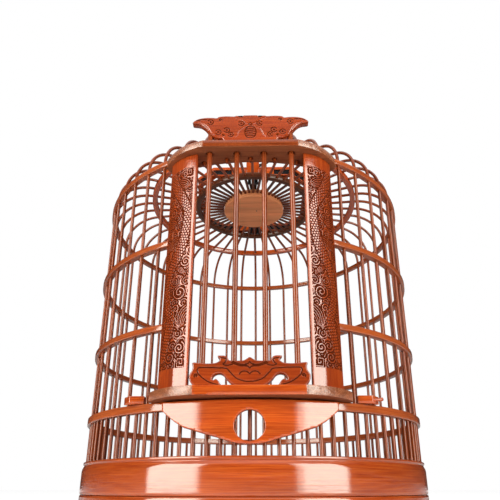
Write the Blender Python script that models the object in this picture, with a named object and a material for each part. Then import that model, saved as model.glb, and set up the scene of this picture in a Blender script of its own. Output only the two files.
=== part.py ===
"""Round bamboo bird cage with a lifting gate, a pull-out tray and a swivelling hook.

Metres, +Z up. The cage stands on z = 0 and the gate faces -Y. All pieces are
made about the cage's own axis, with azimuths measured from -Y towards +X. One
empty then moves them until the middle of the footprint is on the origin.
"""
import math

import bmesh
import bpy
from mathutils import Vector

# Shared fits
FIT_GAP = 0.0003
CUT_OVERRUN = 0.002

# Hoop facets: each facet is centred on a bar
BAR_COUNT = 48
BAR_STEP = 2 * math.pi / BAR_COUNT
HALF_STEP = BAR_STEP / 2

# Bars
BAR_CIRCLE_RADIUS = 0.1660
BAR_RADIUS = 0.0016
BAR_SIDES = 5
DRILL_SIDES = 4
SHOULDER_STEPS = 4
DOOR_HALF_BARS = 3
GROUP_BARS = 4

# Foot hoop
FOOT_HEIGHT = 0.0295
FOOT_WIDTH = 0.0104
FOOT_EDGE_INSET = 0.0028
FOOT_EDGE_HEIGHT = 0.0035

# Base band
BASE_STAND = 0.0004
BAND_HEIGHT = 0.0280
BAND_GROOVE_INSET = 0.0026
BAND_EDGE_HEIGHT = 0.0035
BAND_BEAD_INSET = 0.0008
BAND_BEAD_HEIGHT = 0.0030
BAND_BEAD_NECK = 0.0010
BAND_LIP = 0.0012
BAND_LEDGE_WIDTH = 0.0045
BAND_LEDGE_HEIGHT = 0.0100
SHOE_HEIGHT = 0.0070
SHOE_WIDTH = 0.0066
SHOE_ROOT = 0.0030

# Hoops: height of the middle above the foot hoop's top groove
LOWER_HOOP_RISE = 0.0650
WALL_HOOP_LOW_RISE = 0.1307
WALL_HOOP_HIGH_RISE = 0.2085
SHOULDER_HOOP_RISE = 0.2970
HOOP_OUTER_WALL = 0.0024
HOOP_INNER_WALL = 0.0010
HOOP_HEIGHT = 0.0055
LOWER_HOOP_HEIGHT = 0.0070
SHOULDER_HOOP_WALL = 0.0012

# Roof hoops, above the shoulder hoop and above each other
ROOF_RISE = 0.0395
ROOF_HOOP_STEP = 0.0008
ROOF_HOOP_OUTER_RADIUS = 0.1255
ROOF_HOOP_INNER_RADIUS = 0.0726
ROOF_HOOP_WIDTH = 0.0060
ROOF_HOOP_HEIGHT = 0.0062

# Top disc
DISC_RADIUS = 0.0371
DISC_THICKNESS = 0.0100
DISC_DROP = 0.0054
DISC_SPOKE_RISE = 0.0056

# Door frame in plan: right-hand corners, to the side and forward of the axis,
# as shares of the bars' circle
LINTEL_SHARES = (
    (0.4789, 0.9066),
    (0.4608, 0.9566),
    (0.4096, 1.0181),
    (0.3614, 1.0590),
    (0.3012, 1.0892),
    (0.2530, 1.1066),
    (0.0000, 1.1084),
)
SILL_SHARES = (
    (0.4892, 0.8946),
    (0.4759, 0.9398),
    (0.4217, 1.0151),
    (0.3494, 1.0771),
    (0.2500, 1.1181),
    (0.0000, 1.1193),
)
POST_INNER_SHARE = (0.2843, 1.0440)
POST_OUTER_SHARE = (0.4410, 0.9367)
# Corners of the blocks between the first two bars beside the sill
BLOCK_SHARES = (
    (0.5139, 0.8813),
    (0.5855, 0.8813),
    (0.6229, 0.8337),
    (0.5892, 0.8102),
    (0.5139, 0.8283),
)
APRON_WIDTH_SHARE = 0.4066
BOTTOM_PLATE_WIDTH_SHARE = 0.2765
TOP_PLATE_WIDTH_SHARE = 0.3199
GATE_BAR_PITCH_SHARE = 0.1464

# Lintel and sill boards, half moons in plan
LINTEL_THICKNESS = 0.0066
LINTEL_INSET = 0.0057
LINTEL_END_ANGLE = math.radians(27.4)
SILL_THICKNESS = 0.0074
SILL_END_ANGLE = math.radians(27.2)
BACK_ARC_STEPS = 6
PEG_DROP = 0.0035

# Posts: a split culm, bulged in front
POST_BULGE = 0.0034
POST_THICKNESS = 0.0070
POST_SIDE_DEPTH = 0.0085
POST_ARC_STEPS = 6
HOOP_END_GAP = 0.0004

# Apron below the sill
APRON_THICKNESS = 0.0062
APRON_TOP_GAP = 0.0018
APRON_DEPTH = 0.0296
APRON_HOLE_RADIUS = 0.01125
APRON_HOLE_DROP = 0.0165
APRON_HOLE_SIDES = 20
# Outline of the apron's lower edge: shares of its half width, and of its depth
# below the middle of the lower hoop
APRON_EDGE_SHARES = (
    (0.99, 0.15),
    (0.93, 0.27),
    (0.84, 0.43),
    (0.73, 0.58),
    (0.60, 0.67),
    (0.46, 0.77),
    (0.33, 0.85),
    (0.20, 0.95),
    (0.10, 0.99),
    (0.00, 1.00),
)

# Blocks on the lower hoop
BLOCK_HEIGHT = 0.0062
PEG_RADIUS = 0.0015
PEG_LENGTH = 0.0060

# Gate
GATE_BAR_RADIUS = 0.00225
GATE_BAR_SIDES = 8
GATE_BAR_COUNT = 4
GATE_BAR_CLEARANCE = 0.0005
GATE_PLATE_THICKNESS = 0.0070
GATE_PLATE_CLEARANCE = 0.0005
GATE_SOCKET_FLOOR = 0.0110
GATE_BAR_TOP_RISE = 0.0200
BOTTOM_PLATE_HEIGHT = 0.0240
TOP_PLATE_HEIGHT = 0.0336
# Right half of the bottom plate's outline, from the peak round to the belly:
# shares of the half width and of the height
BOTTOM_PLATE_SHARES = (
    (0.000, 0.963),
    (0.060, 0.880),
    (0.110, 0.830),
    (0.345, 0.830),
    (0.355, 0.890),
    (0.378, 0.958),
    (0.420, 1.000),
    (0.540, 1.000),
    (0.527, 0.940),
    (0.492, 0.885),
    (0.505, 0.815),
    (0.565, 0.752),
    (0.705, 0.738),
    (0.820, 0.758),
    (0.960, 0.785),
    (0.938, 0.640),
    (0.942, 0.535),
    (0.985, 0.415),
    (1.000, 0.325),
    (0.980, 0.165),
    (0.925, 0.050),
    (0.893, 0.000),
    (0.412, 0.000),
    (0.470, 0.062),
    (0.505, 0.180),
    (0.555, 0.262),
    (0.585, 0.212),
    (0.621, 0.226),
    (0.606, 0.325),
    (0.565, 0.395),
    (0.500, 0.425),
    (0.433, 0.383),
    (0.383, 0.250),
    (0.312, 0.108),
    (0.235, 0.022),
    (0.175, 0.000),
)
# Right half of the butterfly plate's outline, from the top round to its foot
TOP_PLATE_SHARES = (
    (0.000, 1.000),
    (0.255, 0.985),
    (0.275, 0.958),
    (0.420, 0.975),
    (0.550, 0.958),
    (0.578, 0.905),
    (0.655, 0.925),
    (0.790, 0.926),
    (0.917, 0.881),
    (1.000, 0.777),
    (0.992, 0.744),
    (0.862, 0.717),
    (0.785, 0.622),
    (0.717, 0.473),
    (0.640, 0.307),
    (0.557, 0.241),
    (0.455, 0.235),
    (0.448, 0.000),
)

# Crown on the inner roof hoop: a straight-sided frame with cut corners
CROWN_SIDE_SHARE = 0.9091
CROWN_CORNER_ANGLE = math.radians(34.5)
CROWN_WALL = 0.0050
CROWN_HEIGHT = 0.0113
CROWN_SLOT_WIDTH = 0.0018
CROWN_SLOT_FLOOR = 0.0008
CROWN_WINDOW_FLOOR = 0.0014
CROWN_WINDOW_HEIGHT = 0.0063
CROWN_WINDOW_SHARE = 0.9000
CROWN_BLOCK_WIDTH = 0.0145
CROWN_BLOCK_HEIGHT = 0.0230
CROWN_BLOCK_STAND = 0.0040
CROWN_SLIT_WIDTH = 0.0020
CROWN_SLIT_DEPTH = 0.0016

# Claw of the hook: a strip along Y with a raised bridge and forked ends
CLAW_THICKNESS = 0.0030
CLAW_END_GAP = 0.0006
CLAW_NARROW = 0.0076
CLAW_WIDE = 0.0122
CLAW_WIDE_LENGTH = 0.0235
CLAW_FOOT_REACH = 0.0240
CLAW_BRIDGE_REACH = 0.0090
CLAW_BRIDGE_RISE = 0.0160
CLAW_FORK_SLOT = 0.0046
CLAW_FORK_DEPTH = 0.0170
PRONG_WIDTH = 0.0032
PRONG_LENGTH = 0.0034
PRONG_DROP = 0.0080

# Hook and its nut
STEM_RADIUS = 0.0020
STEM_SIDES = 8
NUT_RADIUS = 0.0045
NUT_HEIGHT = 0.0060
NUT_SIDES = 6
STEM_TAIL = 0.0025
COLLAR_RADIUS = 0.0048
COLLAR_HEIGHT = 0.0065
STEM_LENGTH = 0.0340
HOOK_RADIUS = 0.0280
HOOK_START_ANGLE = math.radians(-90)
HOOK_SWEEP = math.radians(285)
HOOK_STEPS = 16
HOOK_TIP_SCALE = 1.5

# Floor slats and their battens; places are shares of the band's inner radius
SLAT_COUNT = 15
SLAT_PITCH_SHARE = 0.12445
SLAT_WIDTH = 0.0040
SLAT_HEIGHT = 0.0028
SLAT_LAP = 0.0004
BATTEN_WIDTH = 0.0100
BATTEN_HEIGHT = 0.0050
BATTEN_OFFSET_SHARE = 0.3422

# Tray; its width and the crossbars' places are shares of the foot hoop's inner radius
TRAY_WIDTH_SHARE = 0.7481
TRAY_THICKNESS = 0.0040
RAIL_WEB = 0.0040
RAIL_LIP = 0.0080
RAIL_LIP_HEIGHT = 0.0030
RAIL_HEIGHT = 0.0110
RAIL_END_GAP = 0.0010
CROSSBAR_OFFSET_SHARE = 0.5625
CROSSBAR_WIDTH = 0.0120
CROSSBAR_HEIGHT = 0.0060
KNOB_RADIUS = 0.0060
KNOB_NECK_RADIUS = 0.0032
KNOB_NECK_LENGTH = 0.0040
KNOB_HEAD_LENGTH = 0.0070
KNOB_SIDES = 12

SMOOTH_ANGLE = math.radians(35)

# Radii worked out from the sizes above
HOOP_OUTER_RADIUS = BAR_CIRCLE_RADIUS + BAR_RADIUS + HOOP_OUTER_WALL
HOOP_WIDTH = 2 * BAR_RADIUS + HOOP_OUTER_WALL + HOOP_INNER_WALL
SHOULDER_HOOP_RADIUS = BAR_CIRCLE_RADIUS + BAR_RADIUS + SHOULDER_HOOP_WALL
SHOULDER_HOOP_WIDTH = 2 * (BAR_RADIUS + SHOULDER_HOOP_WALL)
SHOE_OUTER = BAR_CIRCLE_RADIUS + BAR_RADIUS + FIT_GAP
SHOE_INNER = SHOE_OUTER - SHOE_WIDTH
BASE_OUTER_RADIUS = HOOP_OUTER_RADIUS + BASE_STAND
BAND_INNER_RADIUS = SHOE_INNER - FIT_GAP
FOOT_INNER_RADIUS = BASE_OUTER_RADIUS - FOOT_WIDTH
SLAT_PITCH = SLAT_PITCH_SHARE * BAND_INNER_RADIUS
BATTEN_OFFSET = BATTEN_OFFSET_SHARE * BAND_INNER_RADIUS
TRAY_HALF_WIDTH = TRAY_WIDTH_SHARE * FOOT_INNER_RADIUS
CROSSBAR_OFFSET = CROSSBAR_OFFSET_SHARE * FOOT_INNER_RADIUS
PLATE_BACK = SHOULDER_HOOP_RADIUS + GATE_PLATE_CLEARANCE
PLATE_FRONT = PLATE_BACK + GATE_PLATE_THICKNESS
GATE_BAR_DEPTH = (PLATE_BACK + PLATE_FRONT) / 2
GATE_BAR_PITCH = GATE_BAR_PITCH_SHARE * BAR_CIRCLE_RADIUS
CROWN_OUTER_DEPTH = ROOF_HOOP_INNER_RADIUS * CROWN_SIDE_SHARE
CROWN_INNER_DEPTH = CROWN_OUTER_DEPTH - CROWN_WALL
CLAW_REACH = CROWN_INNER_DEPTH - CLAW_END_GAP
CLAW_NARROW_REACH = CLAW_REACH - CLAW_WIDE_LENGTH

# Heights worked out from the sizes above
BAND_BOTTOM = FOOT_HEIGHT + FIT_GAP
BAND_TOP = BAND_BOTTOM + BAND_HEIGHT
SHOE_TOP = BAND_TOP - BAND_LIP
SHOE_BOTTOM = SHOE_TOP - SHOE_HEIGHT
LOWER_HOOP_Z = BAND_BOTTOM + LOWER_HOOP_RISE
LOWER_HOOP_TOP = LOWER_HOOP_Z + LOWER_HOOP_HEIGHT / 2
LOWER_HOOP_BOTTOM = LOWER_HOOP_Z - LOWER_HOOP_HEIGHT / 2
WALL_HOOP_LOW_Z = BAND_BOTTOM + WALL_HOOP_LOW_RISE
WALL_HOOP_HIGH_Z = BAND_BOTTOM + WALL_HOOP_HIGH_RISE
SHOULDER_HOOP_Z = BAND_BOTTOM + SHOULDER_HOOP_RISE
SHOULDER_HOOP_TOP = SHOULDER_HOOP_Z + HOOP_HEIGHT / 2
SHOULDER_HOOP_BOTTOM = SHOULDER_HOOP_Z - HOOP_HEIGHT / 2
ROOF_HOOP_OUTER_Z = SHOULDER_HOOP_Z + ROOF_RISE
ROOF_HOOP_INNER_Z = ROOF_HOOP_OUTER_Z + ROOF_HOOP_STEP
DISC_BOTTOM = ROOF_HOOP_INNER_Z - DISC_DROP
DISC_TOP = DISC_BOTTOM + DISC_THICKNESS
SILL_BOTTOM = LOWER_HOOP_TOP + FIT_GAP
SILL_TOP = SILL_BOTTOM + SILL_THICKNESS
LINTEL_TOP = SHOULDER_HOOP_BOTTOM - FIT_GAP
LINTEL_BOTTOM = LINTEL_TOP - LINTEL_THICKNESS
BOTTOM_PLATE_Z = SILL_TOP + FIT_GAP
TOP_PLATE_Z = LINTEL_TOP + FIT_GAP
CROWN_BOTTOM = ROOF_HOOP_INNER_Z + ROOF_HOOP_HEIGHT / 2 + FIT_GAP
CLAW_BOTTOM = DISC_TOP + FIT_GAP
BRIDGE_BOTTOM = CLAW_BOTTOM + CLAW_BRIDGE_RISE
BRIDGE_TOP = BRIDGE_BOTTOM + CLAW_THICKNESS
CROSSBAR_TOP = FOOT_HEIGHT
RAIL_TOP = CROSSBAR_TOP - CROSSBAR_HEIGHT - FIT_GAP
RAIL_BOTTOM = RAIL_TOP - RAIL_HEIGHT
TRAY_BOTTOM = RAIL_BOTTOM + RAIL_LIP_HEIGHT + FIT_GAP

# The sill reaches furthest forward and the base furthest back
AXIS_Y = (SILL_SHARES[-1][1] * BAR_CIRCLE_RADIUS - BASE_OUTER_RADIUS * math.cos(HALF_STEP)) / 2


def clear_scene():
    for old in list(bpy.data.objects):
        bpy.data.objects.remove(old, do_unlink=True)


def make_material(name, colour, roughness, metallic, coat):
    material = bpy.data.materials.new(name)
    material.use_nodes = True
    shader = material.node_tree.nodes["Principled BSDF"]
    shader.inputs["Base Color"].default_value = (*colour, 1.0)
    shader.inputs["Roughness"].default_value = roughness
    shader.inputs["Metallic"].default_value = metallic
    shader.inputs["Coat Weight"].default_value = coat
    material.diffuse_color = (*colour, 1.0)
    return material


def lacquer(name, colour):
    return make_material(name, colour, 0.30, 0.0, 0.6)


def at(azimuth, radius, height):
    """Point on the cage at an azimuth from the gate, a radius and a height."""
    return Vector((radius * math.sin(azimuth), -radius * math.cos(azimuth), height))


def finish_object(name, bm, material, parent=None):
    """Turn a closed bmesh into a named object, shaded smooth between sharp edges."""
    bmesh.ops.recalc_face_normals(bm, faces=bm.faces)
    mesh = bpy.data.meshes.new(name)
    bm.to_mesh(mesh)
    bm.free()
    mesh.materials.append(material)
    mesh.shade_smooth()
    mesh.set_sharp_from_angle(angle=SMOOTH_ANGLE)
    thing = bpy.data.objects.new(name, mesh)
    bpy.context.collection.objects.link(thing)
    if parent is not None:
        thing.parent = parent
        thing.location = -Vector(parent.location)
    return thing


def make_guide(name, bm):
    """A cutter or joiner, which is not itself a part of the cage."""
    bmesh.ops.recalc_face_normals(bm, faces=bm.faces)
    mesh = bpy.data.meshes.new(name)
    bm.to_mesh(mesh)
    bm.free()
    guide = bpy.data.objects.new(name, mesh)
    guide.hide_render = True
    guide.display_type = "WIRE"
    bpy.context.collection.objects.link(guide)
    return guide


def combine(thing, guide, operation):
    modifier = thing.modifiers.new(guide.name, "BOOLEAN")
    modifier.operation = operation
    modifier.solver = "EXACT"
    modifier.object = guide


def make_axis(name, location):
    axis = bpy.data.objects.new(name, None)
    axis.location = location
    bpy.context.collection.objects.link(axis)
    return axis


def add_loft(bm, loops, closed):
    """Join equal loops of points with quads, and cap the two ends unless the loft closes."""
    rings = [[bm.verts.new(point) for point in loop] for loop in loops]
    count = len(rings[0])
    pairs = list(zip(rings, rings[1:]))
    if closed:
        pairs.append((rings[-1], rings[0]))
    for one, two in pairs:
        for i in range(count):
            j = (i + 1) % count
            bm.faces.new((one[i], one[j], two[j], two[i]))
    if not closed:
        bm.faces.new(list(reversed(rings[0])))
        bm.faces.new(rings[-1])


def add_hoop(bm, profile, angles, closed):
    """Sweep a profile of (radius, height) points round the axis through the angles."""
    loops = [[at(angle, radius, height) for radius, height in profile] for angle in angles]
    add_loft(bm, loops, closed)


def facet_angles():
    """Corners of a full hoop whose facets are centred on the bars."""
    return [(n + 0.5) * BAR_STEP for n in range(BAR_COUNT)]


def open_angles(end_angle):
    """Corners of a hoop that leaves the door open, with its two ends beside the posts."""
    inside = [angle for angle in facet_angles() if end_angle < angle < 2 * math.pi - end_angle]
    return [end_angle] + inside + [2 * math.pi - end_angle]


def add_prism(bm, outline, low, high):
    """A plate with the outline in plan, from one height to another."""
    bottom = [Vector((x, y, low)) for x, y in outline]
    top = [Vector((x, y, high)) for x, y in outline]
    add_loft(bm, [bottom, top], closed=False)


def add_front_prism(bm, outline, near, far):
    """A plate with the outline seen from the front, from one depth to another."""
    front = [Vector((x, -near, z)) for x, z in outline]
    back = [Vector((x, -far, z)) for x, z in outline]
    add_loft(bm, [front, back], closed=False)


def add_box(bm, low, high):
    outline = [(low[0], low[1]), (high[0], low[1]), (high[0], high[1]), (low[0], high[1])]
    add_prism(bm, outline, low[2], high[2])


def round_loop(centre, first, second, radius, sides, stretch=1.0, phase=0.0):
    """Corners of a round section, stretched along its second direction at a bend."""
    loop = []
    for i in range(sides):
        turn = 2 * math.pi * i / sides + phase
        loop.append(centre + radius * (math.cos(turn) * first + stretch * math.sin(turn) * second))
    return loop


def add_tube(bm, points, normal, radii, sides, phase=0.0):
    """A round bar along points that lie in the plane across the normal."""
    loops = []
    for i, point in enumerate(points):
        before = points[max(i - 1, 0)]
        after = points[min(i + 1, len(points) - 1)]
        into = (point - before).normalized() if i > 0 else (after - point).normalized()
        out = (after - point).normalized() if i < len(points) - 1 else into
        along = (into + out).normalized()
        stretch = 1.0 / max(along.dot(into), 0.5)
        loops.append(round_loop(point, normal, along.cross(normal), radii[i], sides, stretch, phase))
    add_loft(bm, loops, closed=False)


def add_turned(bm, profile, sides, centre=(0.0, 0.0)):
    """A turned piece about a vertical line, from (radius, height) points, bottom to top."""
    loops = []
    for radius, height in profile:
        middle = Vector((centre[0], centre[1], height))
        loops.append(round_loop(middle, Vector((1, 0, 0)), Vector((0, 1, 0)), radius, sides))
    add_loft(bm, loops, closed=False)


def mirror_outline(half):
    """Close an outline from its right half, given from the top middle to the bottom middle."""
    left = [(-x, z) for x, z in reversed(half) if x > 0]
    return list(half) + left


# Bars

def roof_path(start_height):
    """Radius and height of a long bar from its foot, over the shoulder, to the disc."""
    shoulder_radius = ROOF_HOOP_OUTER_RADIUS + FIT_GAP
    width = BAR_CIRCLE_RADIUS - shoulder_radius
    base = SHOULDER_HOOP_TOP + FIT_GAP
    rise = ROOF_HOOP_OUTER_Z - base
    path = [(BAR_CIRCLE_RADIUS, start_height), (BAR_CIRCLE_RADIUS, base)]
    for step in range(1, SHOULDER_STEPS + 1):
        turn = math.pi / 2 * step / SHOULDER_STEPS
        path.append((shoulder_radius + width * math.cos(turn), base + rise * math.sin(turn)))
    path.append((DISC_RADIUS + FIT_GAP, DISC_BOTTOM + DISC_SPOKE_RISE))
    return path


def add_bar(bm, azimuth, path, radius, sides, phase=0.0):
    points = [at(azimuth, r, z) for r, z in path]
    across = Vector((math.cos(azimuth), math.sin(azimuth), 0))
    add_tube(bm, points, across, [radius] * len(points), sides, phase)


def add_long_bar(bm, place, start_height):
    add_bar(bm, place * BAR_STEP, roof_path(start_height), BAR_RADIUS, BAR_SIDES)


def add_drill(bm, place, start_height):
    """The space of a long bar with its clearance, square to the hoops."""
    phase = math.pi / DRILL_SIDES
    radius = (BAR_RADIUS + FIT_GAP) / math.cos(phase)
    add_bar(bm, place * BAR_STEP, roof_path(start_height), radius, DRILL_SIDES, phase)


def add_short_bar(bm, place):
    top = LOWER_HOOP_BOTTOM - FIT_GAP
    path = [(BAR_CIRCLE_RADIUS, SHOE_BOTTOM + SHOE_ROOT), (BAR_CIRCLE_RADIUS, top)]
    add_bar(bm, place * BAR_STEP, path, BAR_RADIUS, BAR_SIDES)


def shoe_angles(first, last):
    """Corners of a shoe under the bars from one place to another, in half steps of the bars."""
    count = round((last - first) * 2) + 1
    angles = [(first - 0.25) * BAR_STEP + i * HALF_STEP for i in range(count + 1)]
    trim = FIT_GAP / 2 / SHOE_OUTER
    angles[0] += trim
    angles[-1] -= trim
    return angles


def make_bar_group(name, long_places, short_places, material):
    """Bars that stand in one shoe, a segment of the hoop inside the base band."""
    places = list(long_places) + list(short_places)
    profile = [
        (SHOE_OUTER, SHOE_BOTTOM),
        (SHOE_OUTER, SHOE_TOP),
        (SHOE_INNER, SHOE_TOP),
        (SHOE_INNER, SHOE_BOTTOM),
    ]
    shoe = bmesh.new()
    add_hoop(shoe, profile, shoe_angles(min(places), max(places)), closed=False)
    group = finish_object(name, shoe, material)
    bars = bmesh.new()
    for place in long_places:
        add_long_bar(bars, place, SHOE_BOTTOM + SHOE_ROOT)
    for place in short_places:
        add_short_bar(bars, place)
    combine(group, make_guide(name + "_bars", bars), "UNION")
    return group


def make_bars(material):
    first = DOOR_HALF_BARS + 1
    last = BAR_COUNT - first
    groups = (last - first + 1) // GROUP_BARS
    for group in range(groups):
        start = first + group * GROUP_BARS
        stop = last if group == groups - 1 else start + GROUP_BARS - 1
        long_places = range(start, stop + 1)
        short_places = [place - 0.5 for place in long_places]
        if group == groups - 1:
            short_places.append(stop + 0.5)
        make_bar_group("wall_bars_%02d" % (group + 1), long_places, short_places, material)
    front = [half / 2 for half in range(-2 * DOOR_HALF_BARS, 2 * DOOR_HALF_BARS + 1)]
    make_bar_group("front_short_bars", [], front, material)
    for place in range(-DOOR_HALF_BARS, DOOR_HALF_BARS + 1):
        # The two outermost pegs end flush, because the posts stand under them
        drop = 0.0 if abs(place) == DOOR_HALF_BARS else PEG_DROP
        bm = bmesh.new()
        add_long_bar(bm, place, LINTEL_BOTTOM - drop)
        finish_object("upper_front_bar_%d" % (place + DOOR_HALF_BARS + 1), bm, material)


def make_bar_clearances():
    """Guides that drill the hoops for the long bars and for the upper front bars."""
    wall = bmesh.new()
    for place in range(DOOR_HALF_BARS + 1, BAR_COUNT - DOOR_HALF_BARS):
        add_drill(wall, place, SHOE_TOP)
    front = bmesh.new()
    for place in range(-DOOR_HALF_BARS, DOOR_HALF_BARS + 1):
        add_drill(front, place, LINTEL_BOTTOM - PEG_DROP)
    return make_guide("wall_bar_clearance", wall), make_guide("front_bar_clearance", front)


# Hoops

def hoop_profile(outer, width, middle, height):
    low = middle - height / 2
    high = middle + height / 2
    return [(outer, low), (outer, high), (outer - width, high), (outer - width, low)]


def make_hoop(name, outer, width, middle, height, angles, closed, drills, material):
    bm = bmesh.new()
    add_hoop(bm, hoop_profile(outer, width, middle, height), angles, closed)
    hoop = finish_object(name, bm, material)
    for drill in drills:
        combine(hoop, drill, "DIFFERENCE")
    return hoop


def make_hoops(wall_drill, front_drill, material, inner_material):
    full = facet_angles()
    gap = open_angles(math.atan2(*POST_OUTER_SHARE) + HOOP_END_GAP / HOOP_OUTER_RADIUS)
    make_hoop("lower_hoop", HOOP_OUTER_RADIUS, HOOP_WIDTH, LOWER_HOOP_Z, LOWER_HOOP_HEIGHT,
              full, True, [wall_drill], material)
    make_hoop("wall_hoop_low", HOOP_OUTER_RADIUS, HOOP_WIDTH, WALL_HOOP_LOW_Z, HOOP_HEIGHT,
              gap, False, [wall_drill], material)
    make_hoop("wall_hoop_high", HOOP_OUTER_RADIUS, HOOP_WIDTH, WALL_HOOP_HIGH_Z, HOOP_HEIGHT,
              gap, False, [wall_drill], material)
    make_hoop("shoulder_hoop", SHOULDER_HOOP_RADIUS, SHOULDER_HOOP_WIDTH, SHOULDER_HOOP_Z,
              HOOP_HEIGHT, full, True, [wall_drill, front_drill], material)
    make_hoop("roof_hoop_outer", ROOF_HOOP_OUTER_RADIUS, ROOF_HOOP_WIDTH, ROOF_HOOP_OUTER_Z,
              ROOF_HOOP_HEIGHT, full, True, [wall_drill, front_drill], material)
    make_hoop("roof_hoop_inner", ROOF_HOOP_INNER_RADIUS, ROOF_HOOP_WIDTH, ROOF_HOOP_INNER_Z,
              ROOF_HOOP_HEIGHT, full, True, [wall_drill, front_drill], inner_material)


def make_disc(material):
    loops = [[at(angle, DISC_RADIUS, height) for angle in facet_angles()] for height in (DISC_BOTTOM, DISC_TOP)]
    bm = bmesh.new()
    add_loft(bm, loops, closed=False)
    finish_object("top_disc", bm, material)


# Base

def make_base_band(material):
    edge = BASE_OUTER_RADIUS - BAND_GROOVE_INSET
    bead = BASE_OUTER_RADIUS - BAND_BEAD_INSET
    bead_low = BAND_TOP - BAND_BEAD_HEIGHT
    shoe_wall = SHOE_OUTER + FIT_GAP
    ledge_top = BAND_BOTTOM + BAND_LEDGE_HEIGHT
    ledge_inner = BAND_INNER_RADIUS - BAND_LEDGE_WIDTH
    profile = [
        (edge, BAND_BOTTOM),
        (BASE_OUTER_RADIUS, BAND_BOTTOM + BAND_EDGE_HEIGHT),
        (BASE_OUTER_RADIUS, bead_low - BAND_EDGE_HEIGHT),
        (bead - BAND_BEAD_NECK, bead_low),
        (bead, bead_low + BAND_BEAD_NECK),
        (bead, BAND_TOP),
        (shoe_wall, BAND_TOP),
        (shoe_wall, SHOE_BOTTOM - FIT_GAP),
        (BAND_INNER_RADIUS, SHOE_BOTTOM - FIT_GAP),
        (BAND_INNER_RADIUS, ledge_top),
        (ledge_inner, ledge_top),
        (ledge_inner, BAND_BOTTOM),
    ]
    bm = bmesh.new()
    add_hoop(bm, profile, facet_angles(), closed=True)
    finish_object("base_band", bm, material)


def foot_profile():
    edge = BASE_OUTER_RADIUS - FOOT_EDGE_INSET
    return [
        (edge, 0.0),
        (BASE_OUTER_RADIUS, FOOT_EDGE_HEIGHT),
        (BASE_OUTER_RADIUS, FOOT_HEIGHT - FOOT_EDGE_HEIGHT),
        (edge, FOOT_HEIGHT),
        (FOOT_INNER_RADIUS, FOOT_HEIGHT),
        (FOOT_INNER_RADIUS, 0.0),
    ]


def half_hoop_angles(start):
    """Corners of half the foot hoop, a little short of each end."""
    trim = FIT_GAP / 2 / FOOT_INNER_RADIUS
    angles = [start + (n + 0.5) * BAR_STEP for n in range(BAR_COUNT // 2)]
    return [start + trim] + angles + [start + math.pi - trim]


def make_foot(material, tray_axis):
    rear = bmesh.new()
    add_hoop(rear, foot_profile(), half_hoop_angles(math.pi / 2), closed=False)
    finish_object("foot_hoop_rear", rear, material)
    front = bmesh.new()
    add_hoop(front, foot_profile(), half_hoop_angles(-math.pi / 2), closed=False)
    finish_object("tray_front_hoop", front, material, tray_axis)


def make_floor(material):
    """Slats across two battens that rest on the ledge inside the base band."""
    batten_bottom = BAND_BOTTOM + BAND_LEDGE_HEIGHT + FIT_GAP
    batten_top = batten_bottom + BATTEN_HEIGHT
    limit = BAND_INNER_RADIUS * math.cos(HALF_STEP) - FIT_GAP
    bm = bmesh.new()
    half = BATTEN_WIDTH / 2
    reach = math.sqrt(limit ** 2 - (BATTEN_OFFSET + half) ** 2)
    add_box(bm, (-reach, -BATTEN_OFFSET - half, batten_bottom), (reach, -BATTEN_OFFSET + half, batten_top))
    floor = finish_object("floor_slats", bm, material)
    joiner = bmesh.new()
    add_box(joiner, (-reach, BATTEN_OFFSET - half, batten_bottom), (reach, BATTEN_OFFSET + half, batten_top))
    combine(floor, make_guide("rear_batten", joiner), "UNION")
    slats = bmesh.new()
    for i in range(SLAT_COUNT):
        middle = (i - (SLAT_COUNT - 1) / 2) * SLAT_PITCH
        edge = abs(middle) + SLAT_WIDTH / 2
        length = math.sqrt(limit ** 2 - edge ** 2)
        low = (middle - SLAT_WIDTH / 2, -length, batten_top - SLAT_LAP)
        high = (middle + SLAT_WIDTH / 2, length, batten_top - SLAT_LAP + SLAT_HEIGHT)
        add_box(slats, low, high)
    combine(floor, make_guide("slats", slats), "UNION")


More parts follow.
